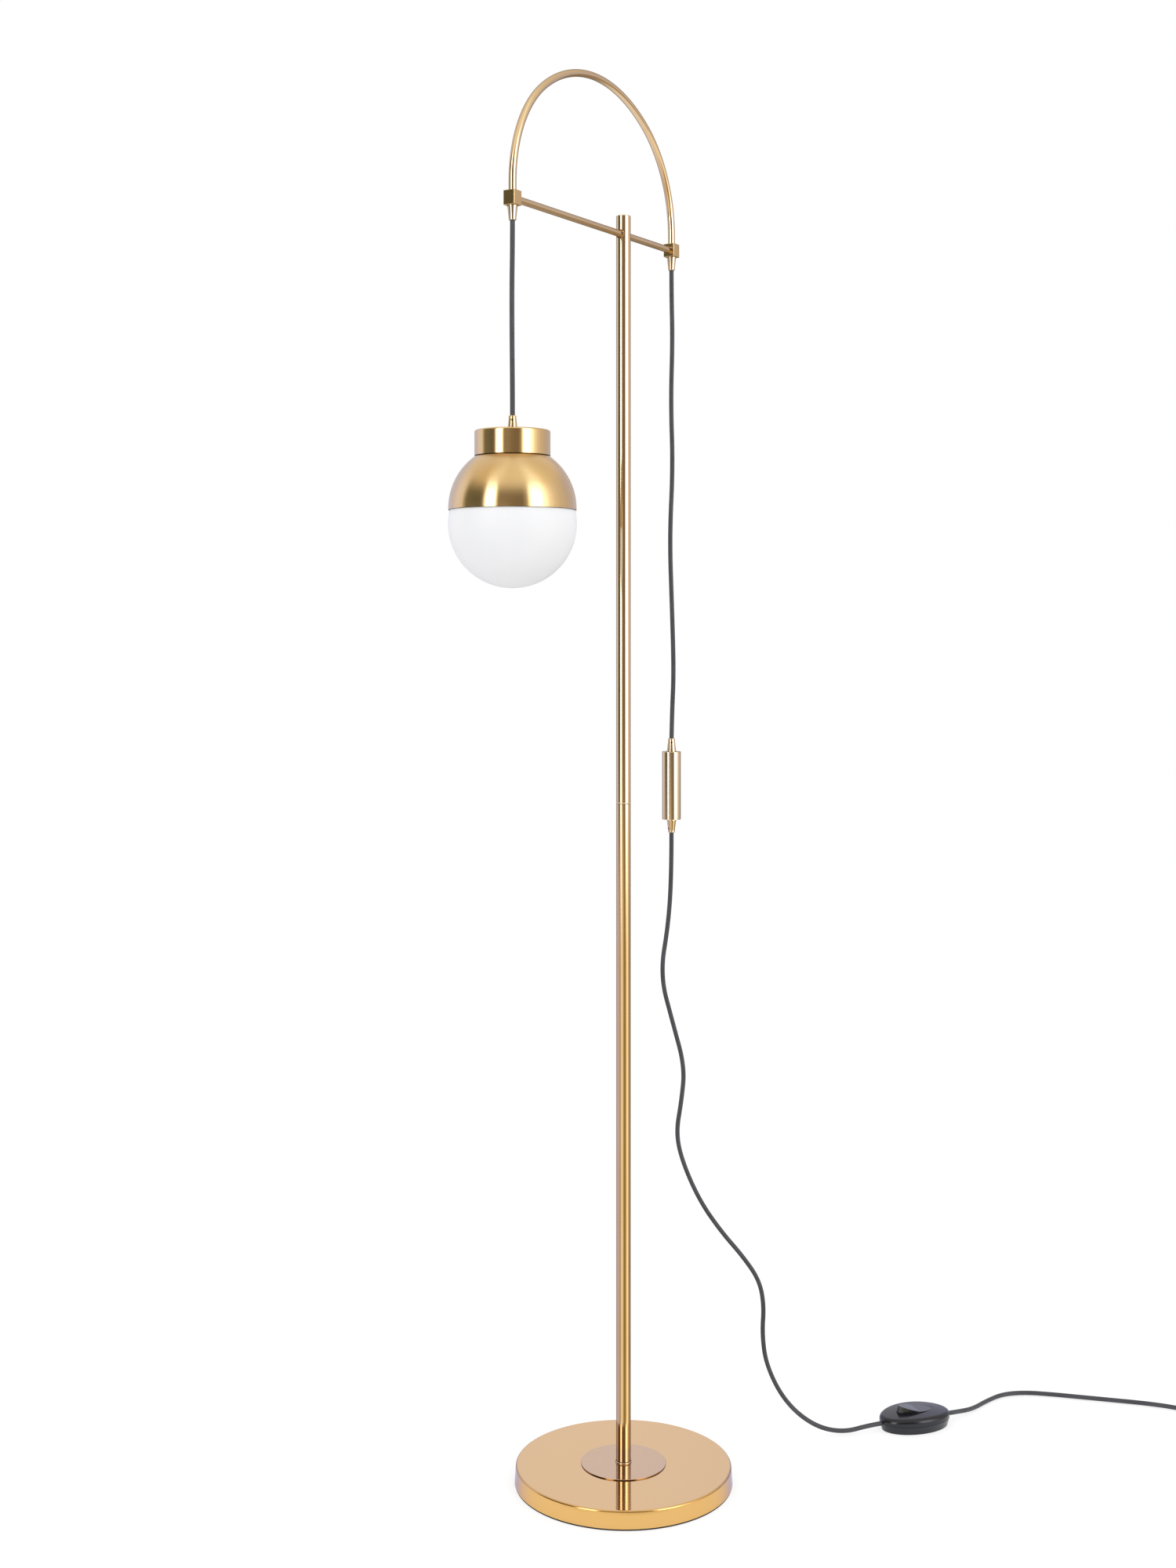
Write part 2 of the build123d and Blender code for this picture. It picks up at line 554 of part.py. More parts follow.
# ---- counterweight --------------------------------------------------------------------------------------
def weight_body():
    body = rod(WEIGHT_RADIUS, WEIGHT_BOTTOM_Z, WEIGHT_TOP_Z, WEIGHT_ARM)
    body = chamfer(body.edges().filter_by(GeomType.CIRCLE), WEIGHT_CHAMFER)
    body -= rod(CORD_BORE_RADIUS, WEIGHT_BOTTOM_Z, WEIGHT_TOP_Z, WEIGHT_ARM)
    socket = SPIGOT_RADIUS + FIT
    body -= rod(socket, WEIGHT_TOP_Z - SPIGOT_LENGTH, WEIGHT_TOP_Z, WEIGHT_ARM)
    return body - rod(socket, WEIGHT_BOTTOM_Z, WEIGHT_BOTTOM_Z + SPIGOT_LENGTH, WEIGHT_ARM)


# ---- lamp -------------------------------------------------------------------------------------------------
def on_lamp(shape):
    """The lamp's pieces are turned about Z and then moved to its axis."""
    return Pos(-PENDANT_ARM, 0, 0) * shape


def lamp_cap():
    outer = rod(CAP_RADIUS, CAP_RIM_Z, CAP_TOP_Z)
    outer = fillet(outer.edges().group_by(Axis.Z)[-1], CAP_EDGE_RADIUS)
    hollow = rod(CAP_RADIUS - CAP_WALL, CAP_RIM_Z, CAP_TOP_Z - CAP_WALL)
    hollow = fillet(hollow.edges().group_by(Axis.Z)[-1], CAP_EDGE_RADIUS - CAP_WALL)
    return outer - hollow - rod(SPIGOT_RADIUS + FIT, CAP_RIM_Z, CAP_TOP_Z)


def nipple():
    """Threaded tube that clamps the cap, the plate and the lampholder on one axis."""
    return pipe(NIPPLE_RADIUS, NIPPLE_BORE_RADIUS, NIPPLE_BOTTOM_Z, NIPPLE_TOP_Z)


def nipple_nut():
    return hex_nut(NIPPLE_NUT_ACROSS_FLATS, NIPPLE_NUT_HEIGHT, NIPPLE_RADIUS + FIT, PLATE_TOP_Z)


def holder_plate():
    plate = pipe(SHADE_COLLAR_RADIUS - PLATE_INSET, NIPPLE_RADIUS + FIT, SHADE_COLLAR_TOP_Z, PLATE_TOP_Z)
    for location in PolarLocations(WIRE_HOLE_PITCH_RADIUS, WIRE_HOLE_COUNT):
        plate -= location * rod(WIRE_HOLE_RADIUS, SHADE_COLLAR_TOP_Z, PLATE_TOP_Z)
    return plate


def half_shade():
    """Spun half shade: a zone of a sphere, a narrow shoulder under the cap and a flanged collar."""
    inner_radius = SHADE_RADIUS - SHADE_WALL
    collar_bore = SHADE_COLLAR_RADIUS - SHADE_WALL
    centre = SHADE_CENTRE_Z
    rim_height = SHADE_RIM_Z - centre
    rim_outer = (sphere_height(SHADE_RADIUS, rim_height), SHADE_RIM_Z)
    rim_inner = (sphere_height(inner_radius, rim_height), SHADE_RIM_Z)
    shoulder = (sphere_height(SHADE_RADIUS, SHOULDER_Z - centre), SHOULDER_Z)
    throat_z = centre + sphere_height(inner_radius, collar_bore)
    flange_z = SHADE_COLLAR_TOP_Z - SHADE_WALL
    edges = [
        sphere_arc(centre, SHADE_RADIUS, elevation(SHADE_RADIUS, rim_height), SHOULDER_Z),
        Polyline(shoulder, (SHADE_COLLAR_RADIUS, SHOULDER_Z), (SHADE_COLLAR_RADIUS, SHADE_COLLAR_TOP_Z),
                 (SHADE_FLANGE_BORE, SHADE_COLLAR_TOP_Z), (SHADE_FLANGE_BORE, flange_z),
                 (collar_bore, flange_z), (collar_bore, throat_z)),
        sphere_arc(centre, inner_radius, elevation(inner_radius, rim_height), throat_z),
        Line(rim_inner, rim_outer),
    ]
    return turned_edges(edges)


def glass_ring():
    """Ring in the shade's collar whose lip carries the bead of the globe's neck."""
    outer = SHADE_COLLAR_RADIUS - SHADE_WALL - RING_CLEARANCE
    top = SHADE_COLLAR_TOP_Z - SHADE_WALL
    lip_bore = GLASS_NECK_RADIUS + BODY_GAP
    lip_top = GLASS_TOP_Z - GLASS_BEAD_HEIGHT - RING_CLEARANCE
    bead_bore = GLASS_NECK_RADIUS + GLASS_BEAD + BODY_GAP
    return turned((outer, lip_top - RING_LIP_HEIGHT), (outer, top), (bead_bore, top),
                  (bead_bore, lip_top), (lip_bore, lip_top), (lip_bore, lip_top - RING_LIP_HEIGHT))


def glass_globe():
    """Blown globe with a beaded neck."""
    inner_radius = GLASS_RADIUS - GLASS_WALL
    neck_bore = GLASS_NECK_RADIUS - GLASS_WALL
    centre = GLASS_CENTRE_Z
    neck_z = centre + sphere_height(GLASS_RADIUS, GLASS_NECK_RADIUS)
    bore_z = centre + sphere_height(inner_radius, neck_bore)
    bead_z = GLASS_TOP_Z - GLASS_BEAD_HEIGHT
    bead_radius = GLASS_NECK_RADIUS + GLASS_BEAD
    edges = [
        sphere_arc(centre, GLASS_RADIUS, -90, neck_z),
        Polyline((GLASS_NECK_RADIUS, neck_z), (GLASS_NECK_RADIUS, bead_z), (bead_radius, bead_z),
                 (bead_radius, GLASS_TOP_Z), (neck_bore, GLASS_TOP_Z), (neck_bore, bore_z)),
        sphere_arc(centre, inner_radius, -90, bore_z),
        Line((0, centre - inner_radius), (0, centre - GLASS_RADIUS)),
    ]
    return turned_edges(edges)


def holder_cap():
    top = SHADE_COLLAR_TOP_Z
    bell = rod(HOLDER_RADIUS, HOLDER_JOINT_Z, top)
    bell = fillet(bell.edges().group_by(Axis.Z)[-1], HOLDER_SHOULDER_ROUND)
    hollow = rod(HOLDER_RADIUS - HOLDER_WALL, HOLDER_JOINT_Z, top - HOLDER_WALL)
    hollow = fillet(hollow.edges().group_by(Axis.Z)[-1], HOLDER_SHOULDER_ROUND - HOLDER_WALL)
    boss = rod(HOLDER_BOSS_RADIUS, top - HOLDER_BOSS_HEIGHT, top)
    return bell - hollow + boss - rod(NIPPLE_RADIUS + FIT, HOLDER_JOINT_Z, top)


def holder_body():
    spigot_radius = HOLDER_RADIUS - HOLDER_WALL - FIT
    bore = spigot_radius - HOLDER_WALL
    body = rod(HOLDER_RADIUS, HOLDER_MOUTH_Z, HOLDER_JOINT_Z)
    body = chamfer(body.edges().group_by(Axis.Z)[0], HOLDER_WALL / 2)
    body += rod(spigot_radius, HOLDER_JOINT_Z, HOLDER_JOINT_Z + HOLDER_SPIGOT)
    body -= rod(bore, HOLDER_MOUTH_Z, HOLDER_FLOOR_Z)
    return body - rod(bore, HOLDER_FLOOR_Z + HOLDER_FLOOR_THICKNESS, HOLDER_JOINT_Z + HOLDER_SPIGOT)


def holder_contacts():
    shell = pipe(CONTACT_SHELL_RADIUS, CONTACT_SHELL_RADIUS - CONTACT_SHELL_WALL,
                 HOLDER_FLOOR_Z - CONTACT_SHELL_LENGTH, HOLDER_FLOOR_Z)
    tip = rod(CENTRE_CONTACT_RADIUS, HOLDER_FLOOR_Z - CENTRE_CONTACT_HEIGHT, HOLDER_FLOOR_Z)
    return Compound(children=[shell, tip])


def bulb_cap():
    return turned((0, BULB_CAP_BOTTOM_Z), (BULB_CAP_RADIUS, BULB_CAP_BOTTOM_Z),
                  (BULB_CAP_RADIUS, BULB_CAP_TOP_Z),
                  (BULB_CAP_TIP_RADIUS, BULB_CAP_TOP_Z + BULB_CAP_CONE_HEIGHT),
                  (BULB_CAP_TIP_RADIUS, BULB_TIP_Z), (0, BULB_TIP_Z))


def bulb_glass():
    inner_radius = BULB_RADIUS - BULB_WALL
    neck_z = BULB_CENTRE_Z + sphere_height(BULB_RADIUS, BULB_NECK_RADIUS)
    bore = BULB_NECK_RADIUS - BULB_WALL
    bore_z = BULB_CENTRE_Z + sphere_height(inner_radius, bore)
    edges = [
        sphere_arc(BULB_CENTRE_Z, BULB_RADIUS, -90, neck_z),
        Polyline((BULB_NECK_RADIUS, neck_z), (BULB_NECK_RADIUS, BULB_CAP_BOTTOM_Z),
                 (bore, BULB_CAP_BOTTOM_Z), (bore, bore_z)),
        sphere_arc(BULB_CENTRE_Z, inner_radius, -90, bore_z),
        Line((0, BULB_CENTRE_Z - inner_radius), (0, BULB_CENTRE_Z - BULB_RADIUS)),
    ]
    return turned_edges(edges)


# ---- foot switch ------------------------------------------------------------------------------------------
def oval(inset, z):
    """The switch's plan, drawn in by inset, at height z."""
    return Pos(0, 0, z) * Ellipse(SWITCH_HALF_LENGTH - inset, SWITCH_HALF_WIDTH - inset)


def lens_prism(grow, bottom_z, top_z):
    """Upright prism whose plan is two arcs that meet at points, like the rocker's."""
    half_length = ROCKER_HALF_LENGTH + grow
    half_width = ROCKER_HALF_WIDTH + grow
    radius = (half_length ** 2 + half_width ** 2) / (2 * half_width)
    one = rod(radius, bottom_z, top_z, 0, radius - half_width)
    return one & rod(radius, bottom_z, top_z, 0, half_width - radius)


def cord_holes():
    """Round way in at each end of the switch, on the flex's axis."""
    hole = Cylinder(CORD_BORE_RADIUS, 2 * SWITCH_HALF_LENGTH + SWITCH_WALL)
    return Pos(0, 0, SWITCH_CORD_Z) * Rot(0, 90, 0) * hole


def screw_spots():
    """The two case screws, one each side of the terminal block."""
    return [Pos(0, side * SWITCH_SCREW_OFFSET, 0) for side in (-1, 1)]


def switch_base():
    outer = loft([oval(SWITCH_SOLE_INSET, 0), oval(0, SWITCH_SEAM_Z)])
    hollow = loft([oval(SWITCH_SOLE_INSET + SWITCH_WALL, SWITCH_WALL), oval(SWITCH_WALL, SWITCH_SEAM_Z)])
    base = outer - hollow - cord_holes()
    for spot in screw_spots():
        base += spot * rod(SWITCH_POST_RADIUS, 0, SWITCH_SEAM_Z)
        base -= spot * rod(SWITCH_SCREW_RADIUS + FIT, 0, SWITCH_SEAM_Z)
        base -= spot * rod(SWITCH_SCREW_HEAD_RADIUS + FIT, 0, SWITCH_SCREW_SEAT_Z)
    return SWITCH * base


def crowned_oval(inset, bottom_z, top_z):
    """Oval block under a shallow spherical crown, with a rounded shoulder."""
    block = extrude(oval(inset, bottom_z), top_z - bottom_z)
    crown = Pos(0, 0, top_z - SWITCH_CROWN_RADIUS) * Rot(90, 0, 0) * Sphere(SWITCH_CROWN_RADIUS)
    crowned = block & crown
    shoulder = [edge for edge in crowned.edges() if edge.bounding_box().min.Z > bottom_z + SWITCH_WALL]
    return fillet(shoulder, SWITCH_EDGE_RADIUS - inset)


def switch_cover():
    bottom = SWITCH_SEAM_Z + SWITCH_SEAM_GAP
    cover = crowned_oval(0, bottom, SWITCH_TOP_Z) - crowned_oval(SWITCH_WALL, bottom, SWITCH_ROOF_Z)
    lug_bottom = ROCKER_AXLE_Z - AXLE_LUG_BELOW_AXLE
    for side in (-1, 1):
        lug = Box(2 * AXLE_LUG_HALF_LENGTH, AXLE_LUG_THICKNESS, SWITCH_ROOF_Z + SWITCH_WALL / 2 - lug_bottom,
                  align=(Align.CENTER, Align.MIN if side > 0 else Align.MAX, Align.MIN))
        cover += Pos(0, side * ROCKER_WELL_HALF_WIDTH, lug_bottom) * lug
    for spot in screw_spots():
        cover += spot * rod(SWITCH_POST_RADIUS, bottom, SWITCH_ROOF_Z)
        cover -= spot * rod(SWITCH_SCREW_RADIUS + FIT, bottom, SWITCH_SCREW_SEAT_Z + SWITCH_SCREW_LENGTH)
    cover -= lens_prism(ROCKER_GAP, bottom, SWITCH_TOP_Z + SWITCH_WALL)
    cover -= cross_axis(AXLE_RADIUS + RUNNING_FIT, AXLE_HALF_LENGTH + RUNNING_FIT)
    return SWITCH * (cover - cord_holes())


def cross_axis(radius, half_length):
    """Round bar on the rocker's axle line."""
    return Pos(0, 0, ROCKER_AXLE_Z) * Rot(90, 0, 0) * Cylinder(radius, 2 * half_length)


def switch_rocker():
    """Lens-shaped rocker with a shallow dish, drawn level and then tipped with its far end down."""
    end_rise = ROCKER_TOP_RISE + ROCKER_HALF_LENGTH * tan(radians(ROCKER_DISH))
    side = Polyline((-ROCKER_HALF_LENGTH, -ROCKER_END_KEEL), (-ROCKER_KEEL_HALF_LENGTH, -ROCKER_KEEL),
                    (ROCKER_KEEL_HALF_LENGTH, -ROCKER_KEEL), (ROCKER_HALF_LENGTH, -ROCKER_END_KEEL),
                    (ROCKER_HALF_LENGTH, end_rise), (0, ROCKER_TOP_RISE),
                    (-ROCKER_HALF_LENGTH, end_rise), close=True)
    slab = extrude(Plane.XZ * make_face(side), ROCKER_HALF_WIDTH, both=True)
    lens = lens_prism(0, -ROCKER_KEEL, end_rise)
    swing = Rot(90, 0, 0) * Cylinder(ROCKER_HALF_LENGTH, 2 * ROCKER_HALF_WIDTH)
    bore = Rot(90, 0, 0) * Cylinder(AXLE_RADIUS + RUNNING_FIT, 2 * ROCKER_HALF_WIDTH)
    rocker = (slab & lens & swing) - bore
    return SWITCH * Pos(0, 0, ROCKER_AXLE_Z) * Rot(0, ROCKER_TILT, 0) * rocker


def rocker_axle():
    return SWITCH * cross_axis(AXLE_RADIUS, AXLE_HALF_LENGTH)


def terminal_block():
    """Insulating block with the contacts under the rocker and a flex clamp at each end."""
    bottom = SWITCH_WALL
    block = Box(2 * SWITCH_CORD_SEAT, 2 * SWITCH_BLOCK_HALF_WIDTH, SWITCH_BLOCK_TOP_Z - bottom,
                align=(Align.CENTER, Align.CENTER, Align.MIN))
    block = Pos(0, 0, bottom) * block
    clamp = Box(SWITCH_CLAMP_LENGTH, SWITCH_BLOCK_HALF_WIDTH, SWITCH_CLAMP_TOP_Z - bottom,
                align=(Align.CENTER, Align.CENTER, Align.MIN))
    for side in (-1, 1):
        block += Pos(side * (SWITCH_CORD_SEAT - SWITCH_CLAMP_LENGTH / 2), 0, bottom) * clamp
    return SWITCH * block


def switch_screws():
    screws = []
    for spot in screw_spots():
        head = rod(SWITCH_SCREW_HEAD_RADIUS, SWITCH_SCREW_RECESS, SWITCH_SCREW_SEAT_Z)
        shank = rod(SWITCH_SCREW_RADIUS, SWITCH_SCREW_SEAT_Z, SWITCH_SCREW_SEAT_Z + SWITCH_SCREW_LENGTH)
        screws.append(SWITCH * spot * (head + shank))
    return Compound(children=screws)


# ---- loose flex ---------------------------------------------------------------------------------------------
def on_switch(along, z):
    """Point on the switch's long axis."""
    a = radians(SWITCH_YAW)
    return (SWITCH_X + along * cos(a), SWITCH_Y + along * sin(a), z)


def tail_points():
    """Route of the flex from the counterweight down to the floor and into the switch."""
    return [
        (WEIGHT_ARM, 0, WEIGHT_TAIL_Z),
        (WEIGHT_ARM, 0, 658),
        (109, 5, 600),
        (105, 14, 540),
        (115, 3, 485),
        (124, -8, 433),
        (123, -4, 393),
        (121, 2, 356),
        (126, -4, 322),
        (138, -20, 277),
        (153, -40, 241),
        (168, -60, 212),
        (179, -76, 184),
        (183, -80, 154),
        (182, -78, 122),
        (186, -81, 85),
        (199, -98, 42),
        (218, -125, 13),
        (240, -153, FLOOR_CORD_Z),
        on_switch(-SWITCH_CORD_SEAT - SWITCH_CORD_RUN, SWITCH_CORD_Z),
        on_switch(-SWITCH_CORD_SEAT, SWITCH_CORD_Z),
    ]


def lead_points():
    """Route of the flex over the floor from the switch to the coil."""
    return [
        on_switch(SWITCH_CORD_SEAT, SWITCH_CORD_Z),
        on_switch(SWITCH_CORD_SEAT + SWITCH_CORD_RUN, SWITCH_CORD_Z),
        (386, -256, FLOOR_CORD_Z),
        (420, -262, FLOOR_CORD_Z),
        (449, -271, FLOOR_CORD_Z),
        (469, -293, FLOOR_CORD_Z),
        (481, -325, FLOOR_CORD_Z),
        (491, -357, FLOOR_CORD_Z),
        (504, -398, FLOOR_CORD_Z),
        (517, -441, FLOOR_CORD_Z),
        (coil_edge()[0], -484, FLOOR_CORD_Z),
        coil_edge(),
    ]


def coil_edge():
    """Where the lead meets the coil's first straight end."""
    return (COIL_X + COIL_OUTER_RADIUS, COIL_Y + 2 * CORD_RADIUS, FLOOR_CORD_Z)


def corner_radii(points):
    """Radius of each corner: as large as the two runs beside it allow."""
    radii = []
    for before, corner, after in zip(points, points[1:], points[2:]):
        run_in = Vector(*corner) - Vector(*before)
        run_out = Vector(*after) - Vector(*corner)
        half_turn = radians(run_in.get_angle(run_out) / 2)
        radii.append(0.45 * min(run_in.length, run_out.length) / tan(half_turn))
    return radii


def loose_cord(name, points):
    """Flex along straight runs joined by tangent arcs."""
    radii = corner_radii(points)
    path = FilletPolyline(*points, radius=radii)
    cord = swept(Circle(CORD_RADIUS), path)
    print(f"{name}: length {path.length:.1f}, corner radii", [round(r) for r in radii])
    print(f"{name}: volume over section x length {section_volume_ratio(cord, path, CORD_RADIUS):.4f}")
    return cord


def coil_station(turn):
    """Point and direction of the coil after so many turns. The spiral runs in on the floor, climbs
    one layer in the half turn where it reverses, and runs out again on top."""
    radius = COIL_OUTER_RADIUS - CORD_STEP * min(turn, 2 * COIL_TURNS_PER_LAYER - turn)
    climb = min(max((turn - COIL_TURNS_PER_LAYER) * 2 + 0.5, 0), 1)
    height = FLOOR_CORD_Z + CORD_STEP * climb * climb * (3 - 2 * climb)
    angle = -2 * pi * turn
    inward = 0 if turn in (0, COIL_TURNS_PER_LAYER, 2 * COIL_TURNS_PER_LAYER) else CORD_STEP
    inward *= -1 if turn < COIL_TURNS_PER_LAYER else 1
    steepness = 12 * CORD_STEP * climb * (1 - climb)
    point = Vector(COIL_X + radius * cos(angle), COIL_Y + radius * sin(angle), height)
    around = Vector(sin(angle), -cos(angle), 0) * (2 * pi * radius)
    outward = Vector(cos(angle), sin(angle), 0) * inward
    return point, (around + outward + Vector(0, 0, steepness)).normalized()


def arc_from(start, tangent, end):
    """Arc that leaves start along tangent and reaches end."""
    chord = end - start
    along = chord.normalized()
    side = tangent - along * tangent.dot(along)
    if side.length < 1e-9:
        return Line(start, end)
    sagitta = chord.length / 2 * tan(radians(tangent.get_angle(chord)) / 2)
    return ThreePointArc(start, start + chord / 2 + side.normalized() * sagitta, end)


def biarc(start, start_tangent, end, end_tangent):
    """Two arcs that meet at a common tangent between two directed points."""
    chord = end - start
    both = start_tangent + end_tangent
    spread = 2 * (1 - start_tangent.dot(end_tangent))
    reach = (sqrt(chord.dot(both) ** 2 + spread * chord.dot(chord)) - chord.dot(both)) / spread
    joint = (start + start_tangent * reach + end - end_tangent * reach) / 2
    second = arc_from(end, end_tangent * -1, joint)
    return [arc_from(start, start_tangent, joint), Edge(second.wrapped).reversed()]


def coil_path():
    """Coil's centreline: a biarc for each quarter turn, with a straight end at each side."""
    stations = [coil_station(quarter / 4) for quarter in range(8 * COIL_TURNS_PER_LAYER + 1)]
    first, first_way = stations[0]
    last, last_way = stations[-1]
    straight = 2 * CORD_RADIUS
    edges = [Line(first - first_way * straight, first)]
    for (start, start_way), (end, end_way) in zip(stations, stations[1:]):
        edges += biarc(start, start_way, end, end_way)
    edges.append(Line(last, last + last_way * straight))
    return Wire(edges)


def least_gap(path, skip):
    """Smallest clear space between stretches of the tube further apart along it than skip."""
    count = int(path.length / 2)
    points = [path @ (i / count) for i in range(count + 1)]
    away = int(skip / (path.length / count))
    gaps = [(points[i] - points[j]).length for i in range(count) for j in range(i + away, count)]
    return min(gaps) - 2 * CORD_RADIUS


def cord_coil():
    path = coil_path()
    coil = swept(Circle(CORD_RADIUS), path)
    print(f"cord_coil: length {path.length:.1f}, least gap to itself {least_gap(path, 60):.2f}")
    print(f"cord_coil: volume over section x length {section_volume_ratio(coil, path, CORD_RADIUS):.4f}")
    return coil


def plug_cord_points():
    """Short flex from the coil's end down to the plug's axis."""
    point, way = coil_station(2 * COIL_TURNS_PER_LAYER)
    start = point + way * 2 * CORD_RADIUS
    bend_y = start.Y - PLUG_CORD_RUN
    level_y = bend_y - PLUG_CORD_SLOPE
    axis_z = PLUG_THICKNESS / 2
    return [
        (start.X, start.Y, start.Z),
        (start.X, bend_y, start.Z),
        (start.X, level_y, axis_z),
        (start.X, level_y - PLUG_CORD_RUN, axis_z),
    ]


# ---- plug ------------------------------------------------------------------------------------------------------
def plug_place():
    """The plug lies flat at the end of the flex, its pins away from the coil."""
    x, y, z = plug_cord_points()[-1]
    return Location((x, y, z), (0, 0, -90))


def plug_plan():
    """Waisted plan of the plug's body, its front square to the pins."""
    front = BOOT_LENGTH + PLUG_LENGTH
    straight_x = front - PLUG_FACE_LENGTH
    neck = (BOOT_LENGTH, PLUG_BACK_HALF_WIDTH)
    waist = (BOOT_LENGTH + PLUG_LENGTH / 3, PLUG_WAIST_HALF_WIDTH)
    shoulder = (straight_x, PLUG_HALF_WIDTH)
    side = Spline(neck, waist, shoulder, tangents=((1, 1), (1, 0)))
    edges = [side, Line(shoulder, (front, PLUG_HALF_WIDTH)), mirror(side, Plane.XZ),
             Line((straight_x, -PLUG_HALF_WIDTH), (front, -PLUG_HALF_WIDTH)),
             Line((front, -PLUG_HALF_WIDTH), (front, PLUG_HALF_WIDTH)),
             Line((BOOT_LENGTH, -PLUG_BACK_HALF_WIDTH), neck)]
    return make_face(edges)


def plug_body():
    """Flat two-pin plug with a grooved boot round the flex."""
    front = BOOT_LENGTH + PLUG_LENGTH
    body = extrude(plug_plan(), PLUG_THICKNESS / 2, both=True)
    rims = body.edges().group_by(Axis.Z)
    body = fillet(rims[0] + rims[-1], PLUG_EDGE_RADIUS)
    body += Rot(0, 90, 0) * turned(*boot_profile())
    for spot in pin_spots():
        body -= spot * Rot(0, 90, 0) * rod(PIN_SLEEVE_RADIUS + FIT, front - PIN_ROOT, front)
    return plug_place() * body


def boot_profile():
    """Boot's half section from its tip to inside the plug, with square grooves."""
    points = [(0, 0), (BOOT_TIP_RADIUS, 0)]
    pitch = BOOT_LENGTH / (BOOT_GROOVES + 1)
    for i in range(1, BOOT_GROOVES + 1):
        radius = BOOT_TIP_RADIUS + (BOOT_BASE_RADIUS - BOOT_TIP_RADIUS) * i / (BOOT_GROOVES + 1)
        low = pitch * i - BOOT_GROOVE_WIDTH / 2
        high = low + BOOT_GROOVE_WIDTH
        points += [(radius, low), (radius - BOOT_GROOVE_DEPTH, low),
                   (radius - BOOT_GROOVE_DEPTH, high), (radius, high)]
    return points + [(BOOT_BASE_RADIUS, BOOT_LENGTH + BOOT_ROOT), (0, BOOT_LENGTH + BOOT_ROOT)]


def pin_spots():
    return [Pos(0, side * PIN_PITCH / 2, 0) for side in (-1, 1)]


def plug_pins():
    front = BOOT_LENGTH + PLUG_LENGTH
    pins = []
    for spot in pin_spots():
        sleeve = rod(PIN_SLEEVE_RADIUS, front - PIN_ROOT, front + PIN_SLEEVE_LENGTH)
        tip = rod(PIN_RADIUS, front + PIN_SLEEVE_LENGTH, front + PIN_LENGTH)
        tip = fillet(tip.edges().group_by(Axis.Z)[-1], PIN_TIP_ROUND)
        pins.append(plug_place() * spot * Rot(0, 90, 0) * (sleeve + tip))
    return Compound(children=pins)


